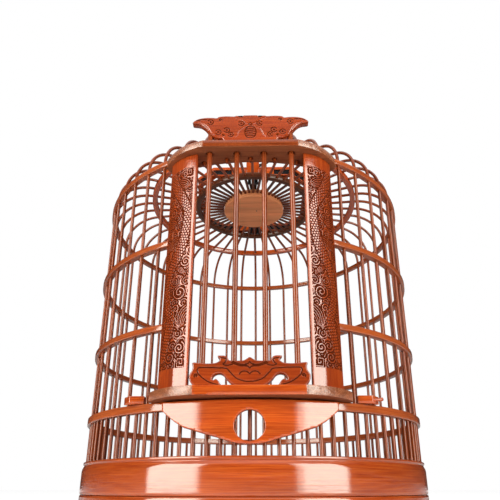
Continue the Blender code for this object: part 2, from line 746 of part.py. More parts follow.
def make_tray(board_material, hoop_material, tray_axis):
    """Tray board with straight sides, its rails, the bars that carry the rails, and the knob."""
    limit = FOOT_INNER_RADIUS * math.cos(HALF_STEP) - FIT_GAP
    corner = math.asin(TRAY_HALF_WIDTH / limit)
    inside = [angle for angle in (n * BAR_STEP for n in range(-BAR_COUNT, BAR_COUNT)) if abs(angle) < corner]
    front = [-corner] + inside + [corner]
    outline = [(limit * math.sin(a), -limit * math.cos(a)) for a in front]
    outline += [(-x, -y) for x, y in outline]
    board = bmesh.new()
    add_prism(board, outline, TRAY_BOTTOM, TRAY_BOTTOM + TRAY_THICKNESS)
    finish_object("tray_board", board, board_material, tray_axis)

    web = TRAY_HALF_WIDTH + FIT_GAP
    rail_reach = math.sqrt(limit ** 2 - (web + RAIL_WEB) ** 2) - RAIL_END_GAP
    for name, side in (("tray_rail_left", -1), ("tray_rail_right", 1)):
        section = [
            (side * (web - RAIL_LIP), RAIL_BOTTOM),
            (side * (web + RAIL_WEB), RAIL_BOTTOM),
            (side * (web + RAIL_WEB), RAIL_TOP),
            (side * web, RAIL_TOP),
            (side * web, RAIL_BOTTOM + RAIL_LIP_HEIGHT),
            (side * (web - RAIL_LIP), RAIL_BOTTOM + RAIL_LIP_HEIGHT),
        ]
        rail = bmesh.new()
        add_front_prism(rail, section, rail_reach, -rail_reach)
        finish_object(name, rail, hoop_material)

    half = CROSSBAR_WIDTH / 2
    reach = math.sqrt(limit ** 2 - (CROSSBAR_OFFSET + half) ** 2)
    for name, place in (("tray_crossbar_front", -CROSSBAR_OFFSET), ("tray_crossbar_rear", CROSSBAR_OFFSET)):
        bar = bmesh.new()
        add_box(bar, (-reach, place - half, CROSSBAR_TOP - CROSSBAR_HEIGHT), (reach, place + half, CROSSBAR_TOP))
        finish_object(name, bar, hoop_material)

    knob_start = BASE_OUTER_RADIUS + FIT_GAP
    neck = knob_start + KNOB_NECK_LENGTH
    head = neck + KNOB_HEAD_LENGTH
    middle = FOOT_HEIGHT / 2
    sections = [
        (knob_start, KNOB_NECK_RADIUS),
        (neck, KNOB_NECK_RADIUS),
        (neck + KNOB_HEAD_LENGTH / 4, KNOB_RADIUS),
        (head - KNOB_HEAD_LENGTH / 4, KNOB_RADIUS),
        (head, KNOB_RADIUS / 2),
    ]
    knob = bmesh.new()
    loops = []
    for depth, radius in sections:
        centre = Vector((0, -depth, middle))
        loops.append(round_loop(centre, Vector((1, 0, 0)), Vector((0, 0, 1)), radius, KNOB_SIDES))
    add_loft(knob, loops, closed=False)
    finish_object("tray_knob", knob, hoop_material, tray_axis)


# Door frame

def in_plan(shares):
    """Corners in plan from shares of the bars' circle."""
    return [(BAR_CIRCLE_RADIUS * side, -BAR_CIRCLE_RADIUS * forward) for side, forward in shares]


def half_moon(back_radius, end_angle, shares):
    """Outline of a half-moon board: an arc behind, and its right front corners mirrored."""
    arc = []
    for i in range(BACK_ARC_STEPS + 1):
        angle = end_angle * (2 * i / BACK_ARC_STEPS - 1)
        point = at(angle, back_radius, 0)
        arc.append((point.x, point.y))
    right = in_plan(shares)
    left = [(-x, y) for x, y in reversed(right) if x > 0]
    return arc + right + left


def make_boards(front_drill, material):
    outline = half_moon(BAR_CIRCLE_RADIUS - LINTEL_INSET, LINTEL_END_ANGLE, LINTEL_SHARES)
    bm = bmesh.new()
    add_prism(bm, outline, LINTEL_BOTTOM, LINTEL_TOP)
    lintel = finish_object("lintel_board", bm, material)
    combine(lintel, front_drill, "DIFFERENCE")
    holes = bmesh.new()
    for side in gate_bar_places():
        low = LINTEL_BOTTOM - CUT_OVERRUN
        high = LINTEL_TOP + CUT_OVERRUN
        add_gate_bar(holes, side, low, high, GATE_BAR_RADIUS + GATE_BAR_CLEARANCE)
    combine(lintel, make_guide("gate_bar_holes", holes), "DIFFERENCE")

    outline = half_moon(HOOP_OUTER_RADIUS - HOOP_WIDTH, SILL_END_ANGLE, SILL_SHARES)
    bm = bmesh.new()
    add_prism(bm, outline, SILL_BOTTOM, SILL_TOP)
    finish_object("sill_board", bm, material)


def make_post(name, side, material):
    """A split culm: bulged front, flat back, a straight inner side along the gate's path."""
    inner, outer = [Vector((x, y, 0)) for x, y in in_plan((POST_INNER_SHARE, POST_OUTER_SHARE))]
    across = (outer - inner).normalized()
    outward = Vector((-across.y, across.x, 0))
    if outward.y > 0:
        outward = -outward
    outline = []
    for i in range(POST_ARC_STEPS + 1):
        share = i / POST_ARC_STEPS
        point = inner.lerp(outer, share) + outward * (POST_BULGE * 4 * share * (1 - share))
        outline.append((side * point.x, point.y))
    back = outer - outward * POST_THICKNESS
    outline.append((side * back.x, back.y))
    outline.append((side * inner.x, inner.y + POST_SIDE_DEPTH))
    bm = bmesh.new()
    add_prism(bm, outline, SILL_TOP + FIT_GAP, LINTEL_BOTTOM - FIT_GAP)
    finish_object(name, bm, material)


def make_apron(material):
    """Curved board in front of the lower hoop, with a scrolled lower edge and a round hole."""
    inner = HOOP_OUTER_RADIUS + FIT_GAP
    outer = inner + APRON_THICKNESS
    top = SILL_BOTTOM - APRON_TOP_GAP
    half_width = APRON_WIDTH_SHARE * BAR_CIRCLE_RADIUS
    low = LOWER_HOOP_Z - APRON_DEPTH - CUT_OVERRUN
    high = top + CUT_OVERRUN
    profile = [(outer, low), (outer, high), (inner, high), (inner, low)]
    steps = DOOR_HALF_BARS + 1
    angles = [(n + 0.5) * BAR_STEP for n in range(-steps, steps)]
    bm = bmesh.new()
    add_hoop(bm, profile, angles, closed=False)
    apron = finish_object("apron", bm, material)
    half = [(half_width, top)]
    half += [(half_width * x, LOWER_HOOP_Z - APRON_DEPTH * z) for x, z in APRON_EDGE_SHARES]
    outline = half + [(-x, z) for x, z in reversed(half) if x > 0]
    scroll = bmesh.new()
    near = outer + CUT_OVERRUN
    far = inner * math.cos(angles[-1]) - CUT_OVERRUN
    add_front_prism(scroll, outline, near, far)
    combine(apron, make_guide("apron_outline", scroll), "INTERSECT")
    hole = bmesh.new()
    loops = []
    for depth in (near + CUT_OVERRUN, far - CUT_OVERRUN):
        centre = Vector((0, -depth, LOWER_HOOP_Z - APRON_HOLE_DROP))
        loops.append(round_loop(centre, Vector((1, 0, 0)), Vector((0, 0, 1)), APRON_HOLE_RADIUS, APRON_HOLE_SIDES))
    add_loft(hole, loops, closed=False)
    combine(apron, make_guide("apron_hole", hole), "DIFFERENCE")


def make_block(name, side, has_peg, material):
    corners = [(side * x, y) for x, y in in_plan(BLOCK_SHARES)]
    low = LOWER_HOOP_TOP + FIT_GAP
    bm = bmesh.new()
    add_prism(bm, corners, low, low + BLOCK_HEIGHT)
    block = finish_object(name, bm, material)
    if has_peg:
        edge, far = [Vector((x, y, 0)) for x, y in corners[1:3]]
        along = (far - edge).normalized()
        outward = Vector((along.y, -along.x, 0)) * side
        foot = (edge + far) / 2 + Vector((0, 0, low + BLOCK_HEIGHT / 2))
        peg = bmesh.new()
        ends = [foot - outward * PEG_RADIUS, foot + outward * PEG_LENGTH]
        loops = [round_loop(end, along, Vector((0, 0, 1)), PEG_RADIUS, GATE_BAR_SIDES) for end in ends]
        add_loft(peg, loops, closed=False)
        combine(block, make_guide(name + "_peg", peg), "UNION")


# Gate

def gate_bar_places():
    return [(i - (GATE_BAR_COUNT - 1) / 2) * GATE_BAR_PITCH for i in range(GATE_BAR_COUNT)]


def add_gate_bar(bm, side, low, high, radius):
    add_turned(bm, [(radius, low), (radius, high)], GATE_BAR_SIDES, (side, -GATE_BAR_DEPTH))


def make_gate_plate(name, shares, half_width, height, bottom, socket_low, socket_high, material, parent):
    """Flat carved plate with a socket for each bar."""
    outline = mirror_outline([(half_width * x, bottom + height * z) for x, z in shares])
    bm = bmesh.new()
    add_front_prism(bm, outline, PLATE_FRONT, PLATE_BACK)
    plate = finish_object(name, bm, material, parent)
    sockets = bmesh.new()
    for side in gate_bar_places():
        add_gate_bar(sockets, side, socket_low, socket_high, GATE_BAR_RADIUS + FIT_GAP)
    combine(plate, make_guide(name + "_sockets", sockets), "DIFFERENCE")


def make_gate(material, bar_material, gate_axis):
    bar_low = BOTTOM_PLATE_Z + GATE_SOCKET_FLOOR + FIT_GAP
    bar_high = TOP_PLATE_Z + GATE_BAR_TOP_RISE - FIT_GAP
    half_width = BOTTOM_PLATE_WIDTH_SHARE * BAR_CIRCLE_RADIUS
    make_gate_plate("gate_bottom_plate", BOTTOM_PLATE_SHARES, half_width, BOTTOM_PLATE_HEIGHT,
                    BOTTOM_PLATE_Z, bar_low - FIT_GAP, LINTEL_BOTTOM, material, gate_axis)
    half_width = TOP_PLATE_WIDTH_SHARE * BAR_CIRCLE_RADIUS
    make_gate_plate("gate_butterfly_plate", TOP_PLATE_SHARES, half_width, TOP_PLATE_HEIGHT,
                    TOP_PLATE_Z, LINTEL_BOTTOM, bar_high + FIT_GAP, material, gate_axis)
    for i, side in enumerate(gate_bar_places()):
        bm = bmesh.new()
        add_gate_bar(bm, side, bar_low, bar_high, GATE_BAR_RADIUS)
        finish_object("gate_bar_%d" % (i + 1), bm, bar_material, gate_axis)


# Crown

def make_crown(material, inlay_material):
    """Straight-sided frame: windows at its cut corners show the inlay, and a slotted block stands on each side."""
    top = CROWN_BOTTOM + CROWN_HEIGHT
    slot_inner = (CROWN_INNER_DEPTH + CROWN_OUTER_DEPTH - CROWN_SLOT_WIDTH) / 2
    slot_outer = slot_inner + CROWN_SLOT_WIDTH
    slot_floor = CROWN_BOTTOM + CROWN_SLOT_FLOOR
    profile = [
        (CROWN_OUTER_DEPTH, CROWN_BOTTOM),
        (CROWN_OUTER_DEPTH, top),
        (slot_outer, top),
        (slot_outer, slot_floor),
        (slot_inner, slot_floor),
        (slot_inner, top),
        (CROWN_INNER_DEPTH, top),
        (CROWN_INNER_DEPTH, CROWN_BOTTOM),
    ]
    quarters = [i * math.pi / 2 for i in range(4)]
    crown = finish_object("crown_wall", crown_ring(profile, quarters), material)

    window_low = CROWN_BOTTOM + CROWN_WINDOW_FLOOR
    window_high = window_low + CROWN_WINDOW_HEIGHT
    window_width = CROWN_OUTER_DEPTH * CROWN_WINDOW_SHARE
    near = CROWN_INNER_DEPTH * math.sqrt(2) - window_width / 2 - CUT_OVERRUN
    far = CROWN_OUTER_DEPTH * math.sqrt(2)
    block_outer = CROWN_OUTER_DEPTH + CROWN_BLOCK_STAND
    block_top = CROWN_BOTTOM + CROWN_BLOCK_HEIGHT
    windows = bmesh.new()
    blocks = bmesh.new()
    slits = bmesh.new()
    for turn in quarters:
        add_turned_box(windows, turn + math.pi / 4, window_width, near, far, window_low, window_high)
        add_turned_box(blocks, turn, CROWN_BLOCK_WIDTH, slot_outer + FIT_GAP, block_outer, CROWN_BOTTOM, block_top)
        add_turned_box(slits, turn, CROWN_SLIT_WIDTH, block_outer - CROWN_SLIT_DEPTH, block_outer + CUT_OVERRUN,
                       CROWN_BOTTOM - CUT_OVERRUN, block_top + CUT_OVERRUN)
    combine(crown, make_guide("crown_windows", windows), "DIFFERENCE")
    combine(crown, make_guide("crown_blocks", blocks), "UNION")
    combine(crown, make_guide("crown_slits", slits), "DIFFERENCE")

    inlay_profile = [
        (slot_outer - FIT_GAP, slot_floor + FIT_GAP),
        (slot_outer - FIT_GAP, top - FIT_GAP),
        (slot_inner + FIT_GAP, top - FIT_GAP),
        (slot_inner + FIT_GAP, slot_floor + FIT_GAP),
    ]
    finish_object("crown_inlay", crown_ring(inlay_profile, quarters), inlay_material)


def crown_ring(profile, quarters):
    """Sweep a profile of (distance of the sides from the axis, height) round the eight corners of the crown."""
    angles = [turn + side * CROWN_CORNER_ANGLE for turn in quarters for side in (-1, 1)]
    stretched = [(depth / math.cos(CROWN_CORNER_ANGLE), height) for depth, height in profile]
    bm = bmesh.new()
    add_hoop(bm, stretched, angles, closed=True)
    return bm


def add_turned_box(bm, turn, width, near, far, low, high):
    """A box across one azimuth, between two distances from the axis."""
    out = at(turn, 1.0, 0)
    side = Vector((math.cos(turn), math.sin(turn), 0)) * (width / 2)
    corners = [out * near - side, out * near + side, out * far + side, out * far - side]
    add_prism(bm, [(corner.x, corner.y) for corner in corners], low, high)


# Claw and hook

def claw_half_width(reach):
    share = max(0.0, (reach - CLAW_NARROW_REACH) / (CLAW_REACH - CLAW_NARROW_REACH))
    return (CLAW_NARROW + (CLAW_WIDE - CLAW_NARROW) * share) / 2


def make_claw(material):
    """Strip over the disc: a bridge in the middle and a fork of two prongs at each end."""
    line = [
        (-CLAW_REACH, CLAW_BOTTOM),
        (-CLAW_NARROW_REACH, CLAW_BOTTOM),
        (-CLAW_FOOT_REACH, CLAW_BOTTOM),
        (-CLAW_BRIDGE_REACH, BRIDGE_BOTTOM),
        (CLAW_BRIDGE_REACH, BRIDGE_BOTTOM),
        (CLAW_FOOT_REACH, CLAW_BOTTOM),
        (CLAW_NARROW_REACH, CLAW_BOTTOM),
        (CLAW_REACH, CLAW_BOTTOM),
    ]
    bm = bmesh.new()
    loops = []
    for y, z in line:
        half = claw_half_width(abs(y))
        loops.append([
            Vector((-half, y, z)),
            Vector((half, y, z)),
            Vector((half, y, z + CLAW_THICKNESS)),
            Vector((-half, y, z + CLAW_THICKNESS)),
        ])
    add_loft(bm, loops, closed=False)
    claw = finish_object("hook_claw", bm, material)

    cuts = bmesh.new()
    prongs = bmesh.new()
    slot = CLAW_FORK_SLOT / 2
    for end in (-1, 1):
        near, far = sorted((end * (CLAW_REACH - CLAW_FORK_DEPTH), end * (CLAW_REACH + CUT_OVERRUN)))
        add_box(cuts, (-slot, near, CLAW_BOTTOM - CUT_OVERRUN), (slot, far, CLAW_BOTTOM + CLAW_THICKNESS + CUT_OVERRUN))
        near, far = sorted((end * (CLAW_REACH - PRONG_LENGTH), end * (CLAW_REACH - FIT_GAP)))
        for side in (-1, 1):
            left, right = sorted((side * (slot + FIT_GAP), side * (slot + FIT_GAP + PRONG_WIDTH)))
            add_box(prongs, (left, near, CLAW_BOTTOM - PRONG_DROP), (right, far, CLAW_BOTTOM + CLAW_THICKNESS / 2))
    combine(claw, make_guide("claw_fork_slots", cuts), "DIFFERENCE")
    combine(claw, make_guide("claw_prongs", prongs), "UNION")
    hole = bmesh.new()
    radius = STEM_RADIUS + FIT_GAP
    profile = [(radius, BRIDGE_BOTTOM - CUT_OVERRUN), (radius, BRIDGE_TOP + CUT_OVERRUN)]
    add_turned(hole, profile, STEM_SIDES)
    combine(claw, make_guide("claw_hole", hole), "DIFFERENCE")


def make_hook(material, nut_material, hook_axis):
    """Stem with a collar that rests on the bridge, then an open round hook."""
    collar_low = BRIDGE_TOP + FIT_GAP
    collar_high = collar_low + COLLAR_HEIGHT
    stem_top = collar_high + STEM_LENGTH
    nut_top = BRIDGE_BOTTOM - FIT_GAP
    nut_low = nut_top - NUT_HEIGHT
    centre = stem_top + HOOK_RADIUS
    points = []
    radii = []
    sections = (
        (nut_low - STEM_TAIL, STEM_RADIUS),
        (collar_low, STEM_RADIUS),
        (collar_low, COLLAR_RADIUS),
        (collar_high - COLLAR_RADIUS / 2, COLLAR_RADIUS),
        (collar_high, COLLAR_RADIUS / 2),
    )
    for height, radius in sections:
        points.append(Vector((0, 0, height)))
        radii.append(radius)
    lower = bmesh.new()
    add_turned(lower, [(radius, point.z) for point, radius in zip(points, radii)], STEM_SIDES)
    hook = finish_object("hook", lower, material, hook_axis)

    curve = [Vector((0, 0, collar_low + COLLAR_HEIGHT / 3)), Vector((0, 0, stem_top - HOOK_RADIUS / 3))]
    for step in range(HOOK_STEPS + 1):
        angle = HOOK_START_ANGLE + HOOK_SWEEP * step / HOOK_STEPS
        curve.append(Vector((HOOK_RADIUS * math.cos(angle), 0, centre + HOOK_RADIUS * math.sin(angle))))
    sizes = [STEM_RADIUS] * len(curve)
    sizes[-1] = STEM_RADIUS * HOOK_TIP_SCALE
    bow = bmesh.new()
    add_tube(bow, curve, Vector((0, 1, 0)), sizes, STEM_SIDES)
    combine(hook, make_guide("hook_bow", bow), "UNION")

    nut = bmesh.new()
    add_turned(nut, [(NUT_RADIUS, nut_low), (NUT_RADIUS, nut_top)], NUT_SIDES)
    nut_object = finish_object("hook_nut", nut, nut_material, hook_axis)
    bore = bmesh.new()
    radius = STEM_RADIUS + FIT_GAP
    add_turned(bore, [(radius, nut_low - CUT_OVERRUN), (radius, nut_top + CUT_OVERRUN)], STEM_SIDES)
    combine(nut_object, make_guide("nut_bore", bore), "DIFFERENCE")


def stand_on_origin():
    """Put the whole cage under one empty that centres its footprint."""
    cage = make_axis("cage", (0.0, AXIS_Y, 0.0))
    for thing in list(bpy.context.collection.objects):
        if thing.parent is None and thing != cage:
            thing.parent = cage


def build():
    clear_scene()
    red = lacquer("lacquered_bamboo", (0.50, 0.11, 0.030))
    bar_red = lacquer("bar_bamboo", (0.42, 0.10, 0.035))
    brown = lacquer("shaded_bamboo", (0.22, 0.075, 0.035))
    disc_wood = make_material("disc_wood", (0.44, 0.15, 0.055), 0.55, 0.0, 0.1)
    tray_wood = make_material("tray_wood", (0.48, 0.22, 0.09), 0.55, 0.0, 0.1)
    black = make_material("black_lacquer", (0.020, 0.022, 0.026), 0.25, 0.0, 0.5)
    metal = make_material("dark_metal", (0.055, 0.055, 0.060), 0.35, 1.0, 0.0)

    gate_axis = make_axis("gate_slide_axis", (0.0, -GATE_BAR_DEPTH, BOTTOM_PLATE_Z))
    tray_axis = make_axis("tray_slide_axis", (0.0, -FOOT_INNER_RADIUS, TRAY_BOTTOM))
    hook_axis = make_axis("hook_swivel_axis", (0.0, 0.0, BRIDGE_TOP))

    wall_drill, front_drill = make_bar_clearances()
    make_bars(bar_red)
    make_hoops(wall_drill, front_drill, red, brown)
    make_disc(disc_wood)
    make_base_band(red)
    make_foot(red, tray_axis)
    make_floor(bar_red)
    make_tray(tray_wood, red, tray_axis)
    make_boards(front_drill, red)
    make_post("post_left", -1, red)
    make_post("post_right", 1, red)
    make_apron(red)
    make_block("block_left", -1, False, red)
    make_block("block_right", 1, True, red)
    make_gate(red, bar_red, gate_axis)
    make_crown(red, black)
    make_claw(metal)
    make_hook(metal, metal, hook_axis)
    stand_on_origin()


build()
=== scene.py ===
"""Looks of the round bamboo bird cage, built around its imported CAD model."""
import math

import bmesh
import bpy
import numpy as np
from mathutils import Matrix, Vector
from mathutils.geometry import delaunay_2d_cdt


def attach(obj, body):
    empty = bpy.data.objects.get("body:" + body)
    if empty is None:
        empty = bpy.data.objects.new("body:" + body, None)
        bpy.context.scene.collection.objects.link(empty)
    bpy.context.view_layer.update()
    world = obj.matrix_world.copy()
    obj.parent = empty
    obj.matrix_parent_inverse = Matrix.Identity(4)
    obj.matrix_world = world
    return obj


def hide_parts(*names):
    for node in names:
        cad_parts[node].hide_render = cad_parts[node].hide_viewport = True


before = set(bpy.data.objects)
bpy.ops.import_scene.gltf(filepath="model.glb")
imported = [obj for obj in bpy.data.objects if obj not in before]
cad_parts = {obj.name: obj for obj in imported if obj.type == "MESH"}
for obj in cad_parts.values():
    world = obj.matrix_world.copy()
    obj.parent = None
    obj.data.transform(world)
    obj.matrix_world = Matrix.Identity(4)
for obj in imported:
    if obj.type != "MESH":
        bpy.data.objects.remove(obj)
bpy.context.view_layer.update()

# Sizes of the CAD model, in metres
MM = 0.001
AXIS_Y = 0.007884
STEP = math.radians(7.5)
BAR_CIRCLE = 0.166
BAR_R = 0.0016
BAR_FOOT = 0.05
SHORT_BAR_HEIGHTS = (BAR_FOOT, 0.07, 0.0912)
SHOE = (0.1679, 0.0066, 0.0531, 0.007)
FOOT_H = 0.0295
BAND_LOW = 0.0298
BAND_TOP = 0.0578
BASE_R = 0.1704
HOOP_OUT = 0.17
HOOP_END = math.radians(25.345)
LOWER_Z = 0.0948
WALL_LOW_Z = 0.1605
WALL_HIGH_Z = 0.2383
SHOULDER_Z = 0.3268
SHOULDER_TOP = 0.32985
SHOULDER_CENTRE = 0.1258
ROOF_OUT_Z = 0.3663
ROOF_IN_Z = 0.3671
DISC_R = 0.0371
DISC_LOW = 0.3617
DISC_TOP = 0.3717
SILL_LOW = 0.0986
SILL_TOP = 0.106
LINTEL_LOW = 0.31715
LINTEL_TOP = 0.32375
APRON_R = 0.1765
APRON_HALF_WIDTH = 0.0675
APRON_DROP = 0.0296
APRON_TOP = 0.0968
APRON_DEPTH = 0.0062
APRON_HOLE = (0.0, 0.0783, 0.01125, 64)
POST_LOW = 0.1063
POST_HIGH = 0.31685
POST_INNER = (0.0472, -0.1733)
POST_OUTER = (0.0732, -0.1555)
POST_BULGE = 0.0034
POST_OUTER_DEPTH = 0.007
POST_INNER_DEPTH = 0.0085
PLATE_OUT = 0.1763
PLATE_DEPTH = 0.007
GATE_DEPTH = 0.1728
GATE_PITCH = 0.0243
GATE_BAR_R = 0.00225
GATE_BAR_HEIGHTS = (0.1176, 0.15, 0.2, 0.26, 0.31, 0.34375)
BOTTOM_PLATE_Z = 0.1063
BOTTOM_PLATE_SIZE = (0.0459, 0.024)
TOP_PLATE_Z = 0.32405
TOP_PLATE_SIZE = (0.0531, 0.0336)
CROWN_LOW = 0.3705
CROWN_TOP = 0.3818
CROWN_IN = 0.061
CROWN_OUT = 0.066
CROWN_CORNER = math.radians(34.5)
CROWN_BLOCK_HIGH = 0.023
WINDOW_LOW, WINDOW_TOP = CROWN_LOW + 0.0014, CROWN_LOW + 0.0077
WINDOW_HALF = 0.0297
SLOT_IN, SLOT_OUT = 0.0626, 0.0644
HOOK_R = 0.028
HOOK_CENTRE_Z = 0.4598
HOOK_STEM_R = 0.002
HOOK_SWEEP = math.radians(285)
KNOB_Z = 0.01475

# Settings of the meshes
FAR = 1e9
FLAT = 1e-9
GROUND_FROM = 0.1
# Shift of the grain, along it and across it, for each unit of a piece's seed
BAR_SHIFT = (0.731, 0.0473)
HOOP_SHIFT = (0.613, 0.0391)
BLOCK_SHIFT = (0.7, 0.05)

CAP_GRAIN = 0.001
REAR_GRAIN = 0.31
ROUND_LIMIT = 0.49
BAR_SIDES = 10
# Painted shade on the bars inside this radius, by the disc
SPOKE_FROM, SPOKE_SHADE = 0.066, 0.55


# Mesh building

def spread(x, y, z):
    """Points from coordinates of any matching shapes."""
    return np.stack(np.broadcast_arrays(x, y, z), -1)


def ring_point(azimuth, radius, height):
    """Point about the cage's axis; azimuth 0 is the gate's side."""
    return spread(radius * np.sin(azimuth), AXIS_Y - radius * np.cos(azimuth), height)


def grain_grid(u, v):
    return np.stack(np.meshgrid(u, v, indexing="ij"), -1)


def add_object(name, data):
    thing = bpy.data.objects.new(name, data)
    bpy.context.scene.collection.objects.link(thing)
    return thing


def quads(table):
    """The four corners of each cell of a table."""
    return np.stack([table[:-1, :-1], table[1:, :-1], table[1:, 1:], table[:-1, 1:]], 2)


class Skin:
    """Collects surfaces with grain coordinates in metres and turns them into one object."""

    def __init__(self):
        self.points = []
        self.painted_shade = []
        self.faces = []
        self.grain = []
        self.count = 0

    def add_points(self, points, painted_shade=None):
        """Returns the index of the first point."""
        points = np.asarray(points, float).reshape(-1, 3)
        self.points.append(points)
        self.painted_shade.append(np.zeros(len(points)) if painted_shade is None else np.asarray(painted_shade, float).reshape(-1))
        self.count += len(points)
        return self.count - len(points)

    def add_faces(self, faces, grain):
        self.faces += np.asarray(faces).tolist()
        self.grain.append(np.asarray(grain, float).reshape(-1, 2))

    def grid(self, points, grain, wrap_rows=False, painted_shade=None):
        """Faces between rows of points; each row is a closed loop. Returns the rows' indices."""
        rows, columns = points.shape[:2]
        ids = self.add_points(points, painted_shade) + np.arange(rows * columns).reshape(rows, columns)
        wrapped = np.pad(ids, ((0, int(wrap_rows)), (0, 1)), mode="wrap")
        self.add_faces(quads(wrapped).reshape(-1, 4), quads(grain))
        return ids

    def capped(self, points, grain, cap, painted_shade=None):
        """Grid with its first and last row closed by flat faces whose grain is cap."""
        ids = self.grid(points, grain, painted_shade=painted_shade)
        for row in (0, -1):
            self.add_faces(ids[row][None], cap)

    def make(self, name, material, body, nodes, sharp=38, ground=None):
        """Turn the surfaces into an object; ground is the material of the cut-away places."""
        mesh = bpy.data.meshes.new(name)
        mesh.from_pydata(np.concatenate(self.points).tolist(), [], self.faces)
        layer = mesh.uv_layers.new(name="grain")
        layer.data.foreach_set("uv", np.concatenate(self.grain).astype(np.float32).ravel())
        painted_shade = np.concatenate(self.painted_shade)
        # Point attribute of painted shade, for the carving and for the spokes by the disc
        attribute = mesh.attributes.new("painted_shade", "FLOAT", "POINT")
        attribute.data.foreach_set("value", painted_shade.astype(np.float32))
        bm = bmesh.new()
        bm.from_mesh(mesh)
        bmesh.ops.recalc_face_normals(bm, faces=bm.faces)
        bm.to_mesh(mesh)
        bm.free()
        thing = place(name, mesh, material, body, nodes, sharp)
        if ground is not None:
            mesh.materials.append(ground)
            cut_away = [int(painted_shade[face].mean() > GROUND_FROM) for face in self.faces]
            mesh.polygons.foreach_set("material_index", cut_away)
        return thing


def place(name, mesh, material, body, nodes, sharp):
    """Object on a body, shown in place of the named nodes."""
    mesh.shade_smooth()
    mesh.set_sharp_from_angle(angle=math.radians(sharp))
    thing = add_object(name, mesh)
    mesh.materials.clear()
    mesh.materials.append(material)
    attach(thing, body)
    if nodes:
        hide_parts(*nodes)
    return thing


def along(points, closed=False):
    """Running length at each point of a polyline."""
    points = np.asarray(points, float)
    if closed:
        points = np.vstack([points, points[:1]])
    return np.concatenate([[0.0], np.cumsum(np.linalg.norm(np.diff(points, axis=0), axis=1))])


def tube(skin, path, across, radius, sides, seed, shade=None):
    """Round bar along a path in the plane across one direction; shade is painted shade that darkens it from
    point to point.
    """
    path = np.asarray(path, float)
    across = np.asarray(across, float)
    tangent = np.gradient(path, axis=0)
    tangent /= np.linalg.norm(tangent, axis=1)[:, None]
    other = np.cross(tangent, across)
    other /= np.linalg.norm(other, axis=1)[:, None]
    turn = np.arange(sides) * 2 * np.pi / sides
    radius = np.broadcast_to(radius, (len(path),))[:, None, None]
    ring = np.cos(turn)[:, None] * across + np.sin(turn)[:, None] * other[:, None]
    u = along(path) + seed * BAR_SHIFT[0]
    v = np.arange(sides + 1) * 2 * np.pi / sides * radius.max() + seed * BAR_SHIFT[1]
    cap = [[u[0] + CAP_GRAIN * math.cos(t), v[0] + radius.max() * math.sin(t)] for t in turn]
    painted_shade = None if shade is None else np.repeat(shade, sides)
    skin.capped(path[:, None, :] + radius * ring, grain_grid(u, v), cap, painted_shade)


def rounded(corners, radius, steps=3, closed=True):
    """Replace each corner of an outline by a small curve."""
    corners = [np.asarray(c, float) for c in corners]
    out = []
    count = len(corners)
    for i, corner in enumerate(corners):
        if not closed and i in (0, count - 1):
            out.append(corner)
            continue
        before = corners[i - 1] - corner
        after = corners[(i + 1) % count] - corner
        r = radius[i] if hasattr(radius, "__len__") else radius
        r = min(r, np.linalg.norm(before) * ROUND_LIMIT, np.linalg.norm(after) * ROUND_LIMIT)
        if r <= 0:
            out.append(corner)
            continue
        a = corner + before / np.linalg.norm(before) * r
        b = corner + after / np.linalg.norm(after) * r
        for k in range(steps + 1):
            t = k / steps
            out.append((1 - t) ** 2 * a + 2 * t * (1 - t) * corner + t ** 2 * b)
    return np.array(out)


def sweep(skin, rows, profile, run, seed, whole):
    """Closed profiles in a row; a whole ring ends on its first profile, which isn't repeated."""
    u = run + seed * HOOP_SHIFT[0]
    v = along(profile, closed=True) + seed * HOOP_SHIFT[1]
    if whole:
        skin.grid(rows[:-1], grain_grid(u, v), wrap_rows=True)
    else:
        skin.capped(rows, grain_grid(u, v), profile + seed * BLOCK_SHIFT[1])


def lathe(skin, profile, start, end, steps, seed, whole=True):
    """Sweep a closed (radius, height) profile round the axis; the grain runs round."""
    angles = np.linspace(start, end, steps + 1)
    rows = ring_point(angles[:, None], profile[None, :, 0], profile[None, :, 1])
    sweep(skin, rows, profile, angles * profile[:, 0].max(), seed, whole)


def box_profile(outer, width, middle, height, edge=0.0009):
    low, high = middle - height / 2, middle + height / 2
    return rounded([(outer, low), (outer, high), (outer - width, high), (outer - width, low)], edge)


def inside(points, loop):
    """Even-odd test of points against a closed loop."""
    x, y = points[:, 0], points[:, 1]
    hit = np.zeros(len(points), bool)
    for (x0, y0), (x1, y1) in zip(loop, np.roll(loop, -1, axis=0)):
        if y0 == y1:
            continue
        crosses = (y0 > y) != (y1 > y)
        hit ^= crosses & (x < (x1 - x0) * (y - y0) / (y1 - y0) + x0)
    return hit


def segment_distance(points, a, b):
    line = b - a
    length = max(float(line @ line), FLAT ** 2)
    t = np.clip(((points - a) @ line) / length, 0, 1)
    return np.linalg.norm(points - a - t[:, None] * line, axis=1)


def line_distance(s, t, lines, reach):
    """Distance to the nearest of many lines, exact within reach."""
    best = np.full(s.shape, FAR)
    for line in lines:
        low, high = line.min(0) - reach, line.max(0) + reach
        near = (s >= low[0]) & (s <= high[0]) & (t >= low[1]) & (t <= high[1])
        points = np.stack([s[near], t[near]], -1)
        inner = best[near]
        for a, b in zip(line[:-1], line[1:]):
            inner = np.minimum(inner, segment_distance(points, a, b))
        best[near] = inner
    return best


def loop_distance(points, loops):
    return line_distance(*points.T, [np.vstack([loop, loop[:1]]) for loop in loops], FAR)


def refine(loop, length):
    """Split the long sides of a closed loop."""
    out = []
    for a, b in zip(loop, np.roll(loop, -1, axis=0)):
        n = max(1, int(np.ceil(np.linalg.norm(b - a) / length)))
        out += [a + (b - a) * k / n for k in range(n)]
    return np.array(out)


# Distances from a plate's outline, as shares of its edge radius
EDGE_RINGS = (0.3, 1.0)
RING_SLACK = 0.12
INNER_FROM = 1.35
WELD = 1e-7


